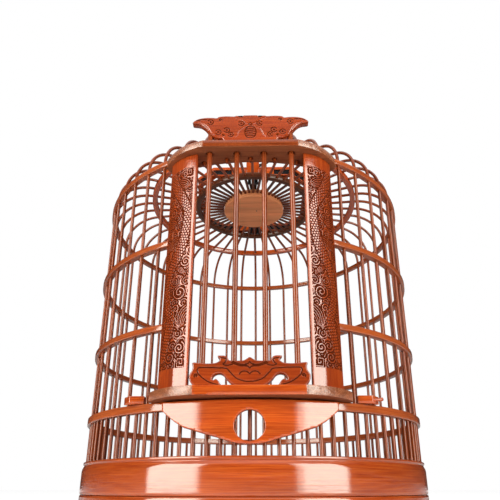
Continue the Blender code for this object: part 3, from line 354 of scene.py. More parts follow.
def plate(skin, outline, holes, spacing, spot, depth, edge, relief=None, seed=0.0):
    """Plate with rounded edges. spot(s, t, d) places a point of the outline's plane, d under the face."""
    loops = [refine(np.asarray(loop, float), spacing) for loop in [outline] + list(holes)]

    def on_plate(points):
        keep = inside(points, loops[0])
        for hole in loops[1:]:
            keep &= ~inside(points, hole)
        return keep

    low, high = loops[0].min(0), loops[0].max(0)
    s = np.arange(low[0] + spacing / 2, high[0], spacing)
    t = np.arange(low[1] + spacing / 2, high[1], spacing)
    inner = np.stack(np.meshgrid(s, t), -1).reshape(-1, 2)
    inner = inner[on_plate(inner)]
    inner = inner[loop_distance(inner, loops) > edge * INNER_FROM]
    ring, wanted = [], []
    for loop in loops:
        tangent = np.roll(loop, -1, axis=0) - np.roll(loop, 1, axis=0)
        normal = np.stack([tangent[:, 1], -tangent[:, 0]], -1)
        normal /= np.maximum(np.linalg.norm(normal, axis=1), FLAT ** 2)[:, None]
        for share in EDGE_RINGS:
            for side in (-1, 1):
                ring.append(loop + side * normal * edge * share)
                wanted.append(np.full(len(loop), edge * share))
    ring, wanted = np.concatenate(ring), np.concatenate(wanted)
    keep = on_plate(ring)
    ring, wanted = ring[keep], wanted[keep]
    ring = ring[np.abs(loop_distance(ring, loops) - wanted) < RING_SLACK * edge]
    sides = []
    first = 0
    for loop in loops:
        sides += [(first + i, first + (i + 1) % len(loop)) for i in range(len(loop))]
        first += len(loop)
    flat = np.concatenate(loops + [ring, inner])
    made = delaunay_2d_cdt([Vector(p) for p in flat], sides, [], 1, WELD)
    verts = np.array([list(v) for v in made[0]])
    tris = np.array(made[2])
    tris = tris[on_plate(verts[tris].mean(1))]
    new_index = {}
    for i, sources in enumerate(made[3]):
        for source in sources:
            new_index.setdefault(source, i)
    gap = loop_distance(verts, loops)
    bend = np.clip(1 - gap / edge, 0, 1)
    drop = edge * (1 - np.sqrt(np.maximum(1 - bend ** 2, 0)))
    # The relief gives the depth of the cuts and their painted shade
    cut, painted_shade = relief(verts[:, 0], verts[:, 1]) if relief else (0.0, None)
    base = skin.add_points(spot(verts[:, 0], verts[:, 1], drop + cut), painted_shade)
    rear = skin.add_points(spot(verts[:, 0], verts[:, 1], depth - drop))
    grain = verts + seed * np.array(BAR_SHIFT)
    skin.add_faces(tris + base, grain[tris])
    skin.add_faces(tris[:, ::-1] + rear, grain[tris[:, ::-1]] + REAR_GRAIN)
    a, b = np.array([[new_index[i] for i in side] for side in sides]).T
    deep = grain + (0, depth)
    skin.add_faces(np.stack([base + a, base + b, rear + b, rear + a], 1),
                   np.stack([grain[a], grain[b], deep[b], deep[a]], 1))


# Materials

STREAK_STOPS = (0.3, 0.5, 0.7)
TONE_RAMP = ((0.3, (0.69, 0.65, 0.61)), (0.7, (1.04, 1.02, 0.99)))
FIBRE_RAMP = ((0.3, (0.62, 0.55, 0.5)), (0.44, (1.0, 1.0, 1.0)))
FIBRE_SHARE = 0.75
# Brightness of the painted shade in carving and on the spokes, as a share of the dark tone
PAINTED_SHADE_DIM = 0.22
WOOD_BUMP = 0.0004
METAL_BUMP = 0.0003


def connect(socket, value):
    """Give a socket a value or another node's output."""
    if isinstance(value, bpy.types.NodeSocket):
        socket.id_data.links.new(value, socket)
    else:
        socket.default_value = value


def fill(node, **inputs):
    """Connect sockets by name, with _ in place of a space."""
    for name, value in inputs.items():
        connect(node.inputs[name.replace("_", " ")], value)


def add_node(tree, kind, output, **inputs):
    """Output of a new node."""
    node = tree.nodes.new(kind)
    fill(node, **inputs)
    return node.outputs[output]


def new_material(name):
    """Material with its node tree and its shader."""
    material = bpy.data.materials.new(name)
    material.use_nodes = True
    tree = material.node_tree
    return material, tree, tree.nodes["Principled BSDF"]


def noise_node(tree, scale, detail, roughness):
    """Noise laid out along the grain."""
    grain = add_node(tree, "ShaderNodeUVMap", "UV")
    grain.node.uv_map = "grain"
    scaled = add_node(tree, "ShaderNodeMapping", "Vector", Vector=grain, Scale=(*scale, 1.0))
    return add_node(tree, "ShaderNodeTexNoise", "Fac", Vector=scaled, Scale=1.0, Detail=detail,
                    Roughness=roughness)


def bump_node(tree, height, strength, distance):
    return add_node(tree, "ShaderNodeBump", "Normal", Height=height, Strength=strength, Distance=distance)


def ramp_node(tree, value, stops):
    colour = add_node(tree, "ShaderNodeValToRGB", "Color", Fac=value)
    elements = colour.node.color_ramp.elements
    while len(elements) < len(stops):
        elements.new(0.5)
    for element, (position, tint) in zip(elements, stops):
        element.position = position
        element.color = (*tint, 1.0)
    return colour


def mix_node(tree, kind, factor, a, b):
    node = tree.nodes.new("ShaderNodeMix")
    node.data_type = "RGBA"
    node.blend_type = kind
    fill(node, Factor=factor)
    for socket, value in zip([i for i in node.inputs if i.type == "RGBA"], (a, b)):
        connect(socket, value)
    return [o for o in node.outputs if o.type == "RGBA"][0]


def wood(name, dark, mid, light, roughness=0.36, coat=1.0, coat_ior=1.9, coat_roughness=0.07,
         streak=(26, 820), tone=(5, 60), fibre=(55, 3600), bump=0.12, coat_bump=0.11, specular=0.06):
    """Lacquered bamboo or wood: long streaks, slow changes of tone, dark fibres, and painted shade in carving
    and on the spokes by the disc.
    """
    material, tree, shader = new_material(name)
    streaks = noise_node(tree, streak, 4.0, 0.62)
    tones = ramp_node(tree, noise_node(tree, tone, 2.0, 0.5), TONE_RAMP)
    fibres = ramp_node(tree, noise_node(tree, fibre, 2.0, 0.5), FIBRE_RAMP)
    painted_shade = add_node(tree, "ShaderNodeAttribute", "Fac")
    painted_shade.node.attribute_name = "painted_shade"
    colour = ramp_node(tree, streaks, tuple(zip(STREAK_STOPS, (dark, mid, light))))
    colour = mix_node(tree, "MULTIPLY", 1.0, colour, tones)
    colour = mix_node(tree, "MULTIPLY", FIBRE_SHARE, colour, fibres)
    # Painted shade: the point attribute darkens the colour toward a dim copy of the dark tone
    colour = mix_node(tree, "MIX", painted_shade, colour, (*(c * PAINTED_SHADE_DIM for c in dark), 1.0))
    fill(shader, Base_Color=colour, Roughness=roughness, Specular_IOR_Level=specular, Coat_Weight=coat,
         Coat_IOR=coat_ior, Coat_Roughness=coat_roughness, Normal=bump_node(tree, streaks, bump, WOOD_BUMP),
         Coat_Normal=bump_node(tree, streaks, coat_bump, WOOD_BUMP))
    return material


def metal(name, colour, roughness):
    material, tree, shader = new_material(name)
    spots = noise_node(tree, (420, 420), 4.0, 0.65)
    speckled = ramp_node(tree, spots, [(0.35, tuple(c * 0.55 for c in colour)), (0.65, colour)])
    fill(shader, Base_Color=speckled, Metallic=1.0, Roughness=roughness,
         Normal=bump_node(tree, spots, 0.15, METAL_BUMP))
    return material


RED = wood("lacquered_bamboo", (0.44, 0.052, 0.005), (0.62, 0.09, 0.009), (0.76, 0.15, 0.02))
BAND_RED = wood("band_bamboo", (0.37, 0.044, 0.004), (0.5, 0.076, 0.008), (0.62, 0.12, 0.016))
HOOP_RED = wood("hoop_bamboo", (0.33, 0.055, 0.01), (0.46, 0.09, 0.018), (0.58, 0.14, 0.034))
# Painted shade: the lintel is a darker copy of the lacquered bamboo
SHADED_LINTEL_RED = wood("lintel_bamboo_painted_shade", (0.17, 0.026, 0.004), (0.27, 0.046, 0.008), (0.4, 0.085, 0.019), coat=0.8)
GROUND_RED = wood("carved_ground", (0.17, 0.024, 0.004), (0.25, 0.036, 0.006), (0.34, 0.06, 0.012),
                  streak=(22, 700), coat=0.0, roughness=0.6, specular=0.03)
END_GRAIN = wood("end_grain", (0.2, 0.05, 0.018), (0.36, 0.11, 0.045), (0.56, 0.22, 0.11),
                 coat_roughness=0.17, streak=(700, 900), tone=(90, 160), fibre=(1500, 1700), bump=0.5,
                 coat_bump=0.7)
UNDER = wood("board_underside", (0.24, 0.065, 0.024), (0.34, 0.1, 0.04), (0.44, 0.14, 0.06),
             coat=0.0, roughness=0.6, specular=0.2)
PLATE_RED = wood("plate_bamboo", (0.3, 0.034, 0.004), (0.4, 0.052, 0.006), (0.5, 0.08, 0.011),
                 streak=(20, 620))
POST_RED = wood("carved_bamboo", (0.31, 0.038, 0.004), (0.42, 0.056, 0.006), (0.52, 0.086, 0.011),
                streak=(22, 700))
BAR_RED = wood("bar_bamboo", (0.13, 0.019, 0.004), (0.3, 0.053, 0.011), (0.5, 0.118, 0.031),
               coat=0.55, tone=(3, 30), streak=(22, 1100))
BROWN = wood("shaded_bamboo", (0.07, 0.02, 0.009), (0.12, 0.036, 0.016), (0.19, 0.063, 0.028),
             coat=0.25, roughness=0.5)
# Lighter wood for the disc, made lighter still as painted light on its underside
DISC_WOOD_AND_LIGHT = wood("disc_wood", (0.84, 0.28, 0.118), (1.0, 0.375, 0.165), (1.0, 0.45, 0.215), roughness=0.55,
                 coat=0.1, coat_ior=1.5, coat_roughness=0.3, streak=(14, 380), fibre=(30, 1500), specular=0.3)
TRAY_WOOD = wood("tray_wood", (0.4, 0.15, 0.055), (0.54, 0.23, 0.09), (0.64, 0.3, 0.13),
                 roughness=0.55, coat=0.2, coat_ior=1.5, coat_roughness=0.3, streak=(12, 300), specular=0.3)
BLACK = wood("black_lacquer", (0.01, 0.011, 0.013), (0.02, 0.022, 0.026), (0.034, 0.037, 0.043),
             roughness=0.25, coat_ior=1.6)
METAL = metal("dark_metal", (0.075, 0.075, 0.082), 0.34)


# Bars

ROOF_STEPS = 14
ROOF_PLACES = (
    (0.12, ROOF_OUT_Z + 0.0001), (0.08, 0.36682), (0.069, 0.36694), (0.064, 0.367), (0.0374, 0.3673))
SHOE_REACH = 0.24
PEG_REACH = 0.0035


def roof_line(start):
    """Radius and height along a long bar, from its foot over the shoulder to the disc."""
    width = BAR_CIRCLE - SHOULDER_CENTRE
    rise = ROOF_OUT_Z - SHOULDER_TOP
    line = [(BAR_CIRCLE, start), (BAR_CIRCLE, (start + SHOULDER_TOP) / 2), (BAR_CIRCLE, SHOULDER_TOP - 0.004)]
    for k in range(ROOF_STEPS + 1):
        turn = math.pi / 2 * k / ROOF_STEPS
        line.append((SHOULDER_CENTRE + width * math.cos(turn), SHOULDER_TOP + rise * math.sin(turn)))
    return np.array(line + list(ROOF_PLACES))


def bar(skin, place_number, radii, heights, seed, shade=None):
    azimuth = place_number * STEP
    path = ring_point(azimuth, radii, heights)
    tube(skin, path, (math.cos(azimuth), math.sin(azimuth), 0.0), BAR_R, BAR_SIDES, seed, shade)


def long_bar(skin, place_number, start, seed):
    """Bar that runs on over the roof; its end by the disc gets painted shade."""
    line = roof_line(start)
    bar(skin, place_number, line[:, 0], line[:, 1], seed, SPOKE_SHADE * (line[:, 0] < SPOKE_FROM))


def short_bar(skin, place_number, seed):
    bar(skin, place_number, BAR_CIRCLE, np.array(SHORT_BAR_HEIGHTS), seed)


def shoe(skin, first, last, seed):
    """Hoop inside the base band that a row of bars stands in."""
    start, end = (first - SHOE_REACH) * STEP, (last + SHOE_REACH) * STEP
    lathe(skin, box_profile(*SHOE, 0.0005), start, end, max(4, int((last - first) * 4)), seed, whole=False)


skin = Skin()
for n in range(4, 45):
    long_bar(skin, n, BAR_FOOT, n * 1.37)
for n in range(4, 45):
    short_bar(skin, n - 0.5, n * 2.11 + 0.4)
short_bar(skin, 44.5, 3.7)
shoe(skin, 3.5, 44.5, 1.0)
skin.make("wall_bars", BAR_RED, "cage", ["wall_bars_%02d" % n for n in range(1, 11)])

skin = Skin()
for n in range(-6, 7):
    short_bar(skin, n / 2, n * 1.91 + 20.3)
shoe(skin, -3, 3, 2.0)
skin.make("front_row_of_bars", BAR_RED, "cage", ["front_short_bars"])

skin = Skin()
for n in range(-3, 4):
    long_bar(skin, n, LINTEL_LOW - (0.0 if abs(n) == 3 else PEG_REACH), n * 1.77 + 31.3)
skin.make("front_roof_bars", BAR_RED, "cage", ["upper_front_bar_%d" % n for n in range(1, 8)])


# Hoops

def hoop(node, profile, material, seed, end=0.0, steps=240):
    """Hoop that leaves out the azimuths within end of the gate's middle."""
    skin = Skin()
    if end:
        lathe(skin, profile, end, 2 * math.pi - end, steps, seed, whole=False)
    else:
        lathe(skin, profile, math.pi, 3 * math.pi, steps, seed)
    skin.make(node + "_skin", material, "cage", [node])


hoop("lower_hoop", box_profile(HOOP_OUT, 0.0066, LOWER_Z, 0.007), HOOP_RED, 1.3)
hoop("wall_hoop_low", box_profile(HOOP_OUT, 0.0066, WALL_LOW_Z, 0.0055), HOOP_RED, 2.9, end=HOOP_END)
hoop("wall_hoop_high", box_profile(HOOP_OUT, 0.0066, WALL_HIGH_Z, 0.0055), HOOP_RED, 4.1, end=HOOP_END)
hoop("shoulder_hoop", box_profile(0.1688, 0.0056, SHOULDER_Z, 0.0055), HOOP_RED, 5.7)
hoop("roof_hoop_outer", box_profile(0.1255, 0.006, ROOF_OUT_Z, 0.0062), RED, 6.3)
hoop("roof_hoop_inner", box_profile(0.0726, 0.006, ROOF_IN_Z, 0.0062), BROWN, 7.7,
     steps=160)

# Radius, height and rounding of each corner
BAND = (
    (BASE_R - 0.0008, BAND_LOW, 0.0005), (BASE_R, BAND_LOW + 0.001, 0.0005), (BASE_R, BAND_LOW + 0.003, 0),
    (BASE_R, BAND_TOP - 0.011, 0), (BASE_R, BAND_TOP - 0.0068, 0.0035),
    (BASE_R - 0.0019, BAND_TOP - 0.0031, 0.0004), (BASE_R - 0.0008, BAND_TOP - 0.0022, 0.0009),
    (BASE_R - 0.0008, BAND_TOP - 0.0004, 0.0009),
    (0.1682, BAND_TOP, 0.0003), (0.1682, 0.0493, 0), (0.161, 0.0493, 0.0003), (0.161, 0.0398, 0),
    (0.1565, 0.0398, 0.0004), (0.1565, BAND_LOW, 0.0004))
FOOT = (
    (BASE_R - 0.0028, 0.0, 0.0008), (BASE_R, 0.0042, 0.004), (BASE_R, FOOT_H - 0.0012, 0.0006),
    (BASE_R - 0.0008, FOOT_H, 0.0005), (0.16, FOOT_H, 0.0008), (0.16, 0.0, 0.0008))
FOOT_GAP = 0.001


def rounded_each(corners):
    return rounded([corner[:2] for corner in corners], [corner[2] for corner in corners], 5)


hoop("base_band", rounded_each(BAND), BAND_RED, 8.3, steps=288)
for name, node, start, body, seed in (
        ("foot_rear_skin", "foot_hoop_rear", math.pi / 2, "cage", 9.1),
        ("foot_front_skin", "tray_front_hoop", -math.pi / 2, "tray", 10.9)):
    skin = Skin()
    lathe(skin, rounded_each(FOOT), start + FOOT_GAP, start + math.pi - FOOT_GAP, 150, seed, whole=False)
    skin.make(name, BAND_RED, body, [node])


# Top disc: grain runs across it

def disc(skin, profile, steps, spin):
    """Solid of revolution with a flat grain; profile runs from the bottom middle to the top middle."""
    angles = np.arange(steps) * 2 * np.pi / steps
    profile = np.asarray(profile, float)
    points = ring_point(angles[:, None], profile[None, :, 0], profile[None, :, 1])
    grain = np.stack([points[..., 0], points[..., 1] + points[..., 2] + spin], -1)
    ids = skin.add_points(points) + np.arange(steps * len(profile)).reshape(steps, -1)
    skin.add_faces(quads(np.vstack([ids, ids[:1]])).reshape(-1, 4), quads(np.vstack([grain, grain[:1]])))
    for column in (0, -1):
        skin.add_faces(ids[None, :, column], grain[:, column])


skin = Skin()
disc_side = [(0.02, DISC_LOW), (DISC_R, DISC_LOW), (DISC_R, DISC_TOP), (0.02, DISC_TOP)]
disc(skin, rounded(disc_side, [0, 0.0012, 0.0012, 0], 4, closed=False), 96, 0.4)
# The disc's colour holds painted light on its underside
skin.make("top_disc_skin", DISC_WOOD_AND_LIGHT, "cage", ["top_disc"])


# Door frame

def curve(points, steps=8):
    """Smooth curve through points."""
    p = np.asarray(points, float)
    p = np.vstack([2 * p[0] - p[1], p, 2 * p[-1] - p[-2]])
    out = []
    for i in range(1, len(p) - 2):
        for k in range(steps):
            u = k / steps
            out.append(0.5 * (2 * p[i] + (p[i + 1] - p[i - 1]) * u
                              + (2 * p[i - 1] - 5 * p[i] + 4 * p[i + 1] - p[i + 2]) * u ** 2
                              + (3 * p[i] - p[i - 1] - 3 * p[i + 1] + p[i + 2]) * u ** 3))
    out.append(p[-2])
    return np.array(out)


def half_moon(back_radius, end, right):
    """Hollow back on a circle, curved sides and a straight front; right lists the right side (x, depth)."""
    angles = np.linspace(-end, end, 31)
    back = np.stack([back_radius * np.sin(angles), -back_radius * np.cos(angles)], -1)
    side = curve(np.array(right) * (1, -1), 5)
    return np.vstack([back, side, side[::-1] * (-1, 1)])


def polar(x, y, radius, turn):
    """Places about a centre."""
    return np.stack([x + radius * np.cos(turn), y + radius * np.sin(turn)], -1)


def circle(x, y, radius, sides=28):
    return polar(x, y, radius, np.arange(sides) * 2 * np.pi / sides)


BOARD_SPACING = 0.004
BOARD_EDGE = 0.0005
END_GRAIN_FROM = 0.042


def board(name, node, outline, holes, low, high, seed, material):
    """Flat board with end grain on its curved sides and a matte underside."""
    skin = Skin()

    def spot(s, t, d):
        return np.stack([s, t + AXIS_Y, high - d], -1)
    plate(skin, outline, holes, BOARD_SPACING, spot, high - low, BOARD_EDGE, seed=seed)
    thing = skin.make(name, material, "cage", [node])
    thing.data.materials.append(END_GRAIN)
    thing.data.materials.append(UNDER)
    for face in thing.data.polygons:
        if face.normal.z < -0.7:
            face.material_index = 2
        elif abs(face.normal.z) < 0.5 and abs(face.center.x) > END_GRAIN_FROM:
            face.material_index = 1


gate_places = [(i - 1.5) * GATE_PITCH for i in range(4)]
LINTEL_SIDE = (
    (0.0795, 0.1505), (0.0765, 0.1588), (0.068, 0.169), (0.06, 0.1758), (0.05, 0.1808),
    (0.042, 0.1837))
SILL_SIDE = ((0.0812, 0.1485), (0.079, 0.156), (0.07, 0.1685), (0.058, 0.1788), (0.0415, 0.1856))
lintel_holes = [circle(x, -GATE_DEPTH, 0.0031) for x in gate_places]
lintel_holes += [circle(BAR_CIRCLE * math.sin(n * STEP), -BAR_CIRCLE * math.cos(n * STEP), 0.0022, 20)
                 for n in range(-3, 4)]
# The lintel wears the darker copy of the bamboo as painted shade
board("lintel_skin", "lintel_board", half_moon(0.1603, math.radians(27.4), LINTEL_SIDE), lintel_holes,
      LINTEL_LOW, LINTEL_TOP, 11.3, SHADED_LINTEL_RED)
board("sill_skin", "sill_board", half_moon(0.1634, math.radians(27.2), SILL_SIDE), [],
      SILL_LOW, SILL_TOP, 12.9, RED)


def apron_spot(s, t, d):
    """Places a front outline (x, z) on the apron's upright cylinder, d under its surface."""
    return np.stack([s, AXIS_Y - np.sqrt(np.maximum((APRON_R - d) ** 2 - s ** 2, 0)), t], -1)


def flat_spot(s, t, d):
    """Places a front outline (x, z) on the gate's flat face, d under its surface."""
    return np.stack([s, AXIS_Y - PLATE_OUT + d, t], -1)


def mirrored(half):
    return np.array(list(half) + [(-x, z) for x, z in reversed(half) if x > FLAT])


def soften(loop, near=0.78, far=0.22):
    """Round the corners of a closed loop a little, in two rounds."""
    for _ in range(2):
        after = np.roll(loop, -1, axis=0)
        loop = np.stack([loop * near + after * far, loop * far + after * near], 1).reshape(-1, 2)
    return loop


APRON_EDGE = (
    (0.99, 0.15), (0.93, 0.27), (0.84, 0.43), (0.73, 0.58), (0.6, 0.67), (0.46, 0.77), (0.33, 0.85),
    (0.2, 0.95), (0.1, 0.99), (0, 1))
apron_half = [(APRON_HALF_WIDTH, APRON_TOP)]
apron_half += [(APRON_HALF_WIDTH * x, LOWER_Z - APRON_DROP * z) for x, z in APRON_EDGE]
skin = Skin()
plate(skin, mirrored(apron_half), [circle(*APRON_HOLE)], 0.0016, apron_spot, APRON_DEPTH, 0.0005, seed=13.7)
skin.make("apron_skin", RED, "cage", ["apron"], sharp=50)


# Posts with their carved panels

PANEL_LOW = 0.1218
PANEL_HIGH = 0.3048
PANEL_STRIP = 0.003
PANEL_EDGE = 0.0009
PANEL_STEP = 0.00026
PLAIN_STEP = 0.003
CARVED_DEEP = 0.00042
CARVED_WALL = 0.0003
LINE_REACH = 0.003
SCALE_ROW = 0.00235
SCALE_WIDTH = 0.0027
SCALE_R = 0.00142
SCALE_LINE = 0.00024
BODY_HALF = 0.0043
BODY_SWELL, BODY_BEAT = 0.0007, 0.011
FEATHER_LINE = 0.00045
CURL_LINE = 0.00058
FRET_LINE = 0.0005
CLOUD_LINE = 0.00046
FRAME_LINE = 0.0004
# How far the clouds stay from feathers and curls, from the body and from the frets
CLEAR_LINES, CLEAR_BODY, CLEAR_FRETS = 0.0014, 0.0007, 0.0013
BODY_GROOVE = 0.0005
PLUME_ROOT, PLUME_PLACES = 6.0, 10
PLUME_ROUND, PLUME_BEND = 0.22, 2.2
POST_CORNER = 0.0011
POST_COLUMNS = 132
CLOUDS = (0.0088, 0.00205, 5)
CLOUD_JITTER = 0.22


def groove(distance, half_width):
    """1 on the line and 0 away from it, with soft walls."""
    return np.clip(1.6 - distance / half_width, 0, 1)


def scroll_field(s, t, pitch, line, seed):
    """Dense cloud scrolls: distance to a spiral groove about each of many centres."""
    rng = np.random.default_rng(seed)
    rows = int((t.max() - t.min()) / pitch) + 3
    columns = int((s.max() - s.min()) / pitch) + 3
    best = np.full(s.shape, FAR)
    second = np.full(s.shape, FAR)
    turn = np.zeros(s.shape)
    for i in range(rows):
        for j in range(columns):
            x = s.min() + (j - 1 + 0.5 * (i % 2)) * pitch + rng.uniform(-CLOUD_JITTER, CLOUD_JITTER) * pitch
            y = t.min() + (i - 1) * pitch + rng.uniform(-CLOUD_JITTER, CLOUD_JITTER) * pitch
            hand = 1 if rng.random() < 0.5 else -1
            phase = rng.random()
            d = np.hypot(s - x, t - y)
            near = d < best
            second = np.where(near, best, np.minimum(second, d))
            turn = np.where(near, np.arctan2(t - y, s - x) * hand / (2 * np.pi) + phase, turn)
            best = np.where(near, d, best)
    phase = best / line - turn
    wave = np.abs(phase - np.round(phase)) * line
    return np.minimum(wave, (second - best) / 2)


def path_frame(s, t, path):
    """Nearest place on a path: signed distance across it and length along it."""
    points = np.stack([s, t], -1)
    best = np.full(s.shape, FAR)
    across = np.zeros(s.shape)
    length = np.zeros(s.shape)
    run = 0.0
    for a, b in zip(path[:-1], path[1:]):
        line = b - a
        size = np.linalg.norm(line)
        share = np.clip(((points - a) @ line) / size ** 2, 0, 1)
        off = points - a - share[..., None] * line
        distance = np.linalg.norm(off, axis=-1)
        side = np.sign(line[0] * off[..., 1] - line[1] * off[..., 0])
        near = distance < best
        best = np.where(near, distance, best)
        across = np.where(near, side * distance, across)
        length = np.where(near, run + share * size, length)
        run += size
    return across, length


def plume(u, v, heading, spread, count, length, bend):
    """Fan of curved feathers from one root, in mm on the panel."""
    lines = []
    for k in range(count):
        side = 2 * k / (count - 1) - 1
        reach = np.linspace(PLUME_ROOT, length * (1 - PLUME_ROUND * side ** 2), PLUME_PLACES)
        angle = np.radians(heading + spread / 2 * side + PLUME_BEND * bend * (reach / length) ** 2)
        lines.append(polar(u, v, reach, angle))
    return lines


def spiral(x, y, radius, turns, hand, start, inner=0.1, places=34):
    """Spiral line that ends at the radius; inner is where it starts, as a share of the radius."""
    k = np.linspace(inner, 1, places)
    return polar(x, y, radius * k, start + hand * 2 * np.pi * turns * k)


# Places on the panel, in mm from its lower left corner
BODY_PATH = (
    (27, 182), (23, 168), (14, 153), (7.5, 140), (7.5, 126), (10, 110), (15, 97), (22, 84), (25.5, 68),
    (23, 52), (19, 41), (22, 26), (27, 8))
PLUMES = (
    (5.5, 28, 62, 44, 6, 25, 24), (4.6, 131, 50, 40, 5, 20, 30), (5, 157, 70, 46, 6, 24, -26),
    (24, 98, 75, 50, 5, 19, 26), (27, 30, 118, 50, 5, 18, 24), (12, 74, 140, 50, 5, 12, -30),
    (17, 122, 64, 46, 5, 18, -24))
CURLS = (
    (11, 63, 6.6, 2.0, 1, 0.5), (8.5, 16, 5.2, 2.0, -1, 2.0), (17.5, 9, 4.8, 1.9, 1, 1.0),
    (12, 177, 4.6, 1.9, 1, 3.0), (23, 140, 5.0, 2.0, -1, 0.3), (6.5, 90, 4.4, 1.8, 1, 1.2),
    (14, 49, 3.8, 1.6, -1, 4.0))
FRET = ((3.6, 1.0), (9.6, 1.0), (9.6, 7.2), (5.2, 7.2), (5.2, 3.3), (7.4, 3.3), (7.4, 5.2))


def post_relief(s, t, width):
    """Raised scaly body, feathers, curls and clouds on a lowered ground. Returns depth and painted shade."""
    def on_panel(points):
        return np.asarray(points, float) * MM + (0.0, PANEL_LOW)

    def distance(lines):
        return line_distance(s, t, [on_panel(line) for line in lines], LINE_REACH)

    across, length = path_frame(s, t, on_panel(curve(BODY_PATH, 6)))
    off = np.abs(across)
    half = BODY_HALF + BODY_SWELL * np.sin(length / BODY_BEAT)
    rows = length / SCALE_ROW
    odd = np.floor(rows) % 2
    cell = ((across / SCALE_WIDTH + 0.5 * odd) % 1.0 - 0.5) * SCALE_WIDTH
    scale = np.hypot(cell, (rows % 1.0) * SCALE_ROW - 0.0002)
    body = np.minimum(np.abs(scale - SCALE_R) - SCALE_LINE, half - off)
    body = np.where(off < half, body, -1.0)
    feathers = distance([line for row in PLUMES for line in plume(*row)])
    curls = distance([spiral(*row) for row in CURLS])
    fret = np.array(FRET)
    frets = distance([fret, fret * (1, -1) + (0, (PANEL_HIGH - PANEL_LOW) / MM)])
    clouds = scroll_field(s, t, *CLOUDS)
    free = np.minimum(np.minimum(feathers, curls) - CLEAR_LINES, off - half - CLEAR_BODY)
    free = np.minimum(free, frets - CLEAR_FRETS)
    clouds = np.where(free > 0, CLOUD_LINE - clouds, -1.0)
    raised = np.maximum(FEATHER_LINE - feathers, CURL_LINE - curls)
    raised = np.maximum(raised, np.maximum(FRET_LINE - frets, clouds))
    raised = np.maximum(np.where(off < half + BODY_GROOVE, -1.0, raised), body)
    frame_gap = np.minimum(t - PANEL_LOW, PANEL_HIGH - t)
    frame_gap = np.minimum(frame_gap, np.minimum(s - PANEL_STRIP, width - PANEL_EDGE - s))
    raised = np.maximum(raised, FRAME_LINE - frame_gap)
    level = np.clip(0.5 - raised / CARVED_WALL, 0, 1)
    wall = 1 - np.abs(2 * level - 1)
    # Painted shade: darkest on the lowered ground, and darker on the groove walls
    return level * CARVED_DEEP, np.clip(level * 0.75 + wall * 0.35, 0, 1)


def upright(skin, plan, section, heights, seed, painted_shade=None):
    """Closed sections above each other, each laid out in plan about the axis; the grain runs up."""
    points = np.zeros((*plan.shape[:2], 3))
    points[..., :2] = plan + (0.0, AXIS_Y)
    points[..., 2] = heights[:, None]
    u = heights + seed * BLOCK_SHIFT[0]
    v = along(section, closed=True) + seed * BLOCK_SHIFT[1]
    skin.capped(points, grain_grid(u, v), section, painted_shade)


def post_section():
    """Outline of a post in plan, its bulged face's running length and the face's place in the outline."""
    inner, outer = np.array(POST_INNER), np.array(POST_OUTER)
    chord = np.linalg.norm(outer - inner)
    across = (outer - inner) / chord
    out = np.array([across[1], -across[0]])
    corner = POST_CORNER / chord
    share = np.concatenate([[0.0], np.linspace(corner, 1 - corner, POST_COLUMNS), [1.0]])
    bulge = POST_BULGE * 4 * share * (1 - share)
    face = inner + share[:, None] * (outer - inner) + out * bulge[:, None]
    back = outer - out * POST_OUTER_DEPTH
    heel = inner + np.array([0.0, POST_INNER_DEPTH])
    first = rounded([heel, face[0], face[1]], [0, POST_CORNER, 0], 5, closed=False)[1:-1]
    last = rounded([face[-2], face[-1], back], [0, POST_CORNER, 0], 5, closed=False)[1:-1]
    rear = rounded([face[-1], back, heel, face[0]], [0, 0.0008, 0.0008, 0], 3, closed=False)[1:-1]
    front = slice(len(first), len(first) + len(face) - 4)
    return np.vstack([first, face[2:-2], last, rear]), along(face), front


section, arc, front = post_section()
heights = np.concatenate([
    [POST_LOW, POST_LOW + 0.0005], np.arange(POST_LOW + PLAIN_STEP, PANEL_LOW - 0.0006, PLAIN_STEP),
    np.arange(PANEL_LOW - 0.0004, PANEL_HIGH + 0.0006, PANEL_STEP),
    np.arange(PANEL_HIGH + PLAIN_STEP, POST_HIGH - 0.001, PLAIN_STEP), [POST_HIGH - 0.0005, POST_HIGH]])
normal = np.gradient(section, axis=0)
normal = np.stack([normal[:, 1], -normal[:, 0]], -1)
normal /= np.linalg.norm(normal, axis=1)[:, None]
t, s = np.meshgrid(heights, arc[2:-2], indexing="ij")
depth, painted_shade = np.zeros((2, len(heights), len(section)))
# Depth of the carving and its painted shade, on the face only
depth[:, front], painted_shade[:, front] = post_relief(s, t, arc[-1])
carved = section[None] - normal[None] * depth[..., None]
for node, side, seed in (("post_left", -1, 14.1), ("post_right", 1, 15.7)):
    skin = Skin()
    upright(skin, carved * (side, 1), section, heights, seed, painted_shade)
    skin.make(node + "_skin", POST_RED, "cage", [node], sharp=60, ground=GROUND_RED)


# Gate plates

PLATE_GRID = 0.00034
# Painted shade in the engraved lines
ENGRAVED_SHADE = 0.9
STROKE_REACH = 0.002
PLATE_SPIRAL = (0.12, 30)


def strokes(s, t, lines, half_width):
    """Groove along lines given in metres."""
    return groove(line_distance(s, t, lines, STROKE_REACH), half_width)


def both_sides(lines):
    return lines + [line * (-1, 1) for line in lines]


def drawn(rows, spot):
    """A smooth line through the places of each row."""
    return [curve([spot(*p) for p in row]) for row in rows]


def ring_line(x, z, r, sides=20, sweep=1.0, start=0.0):
    return polar(x, z, r, start + np.linspace(0, 2 * np.pi * sweep, sides + 1))


def gate_plate(name, node, half, size, foot, edge, relief, seed):
    """Carved plate; half is the right half of its outline, as shares of its size above its foot."""
    skin = Skin()
    outline = mirrored([(size[0] * x, foot + size[1] * z) for x, z in half])
    plate(skin, soften(outline), [], PLATE_GRID, flat_spot, PLATE_DEPTH, edge, relief, seed)
    skin.make(name, PLATE_RED, "gate", [node], sharp=50, ground=GROUND_RED)


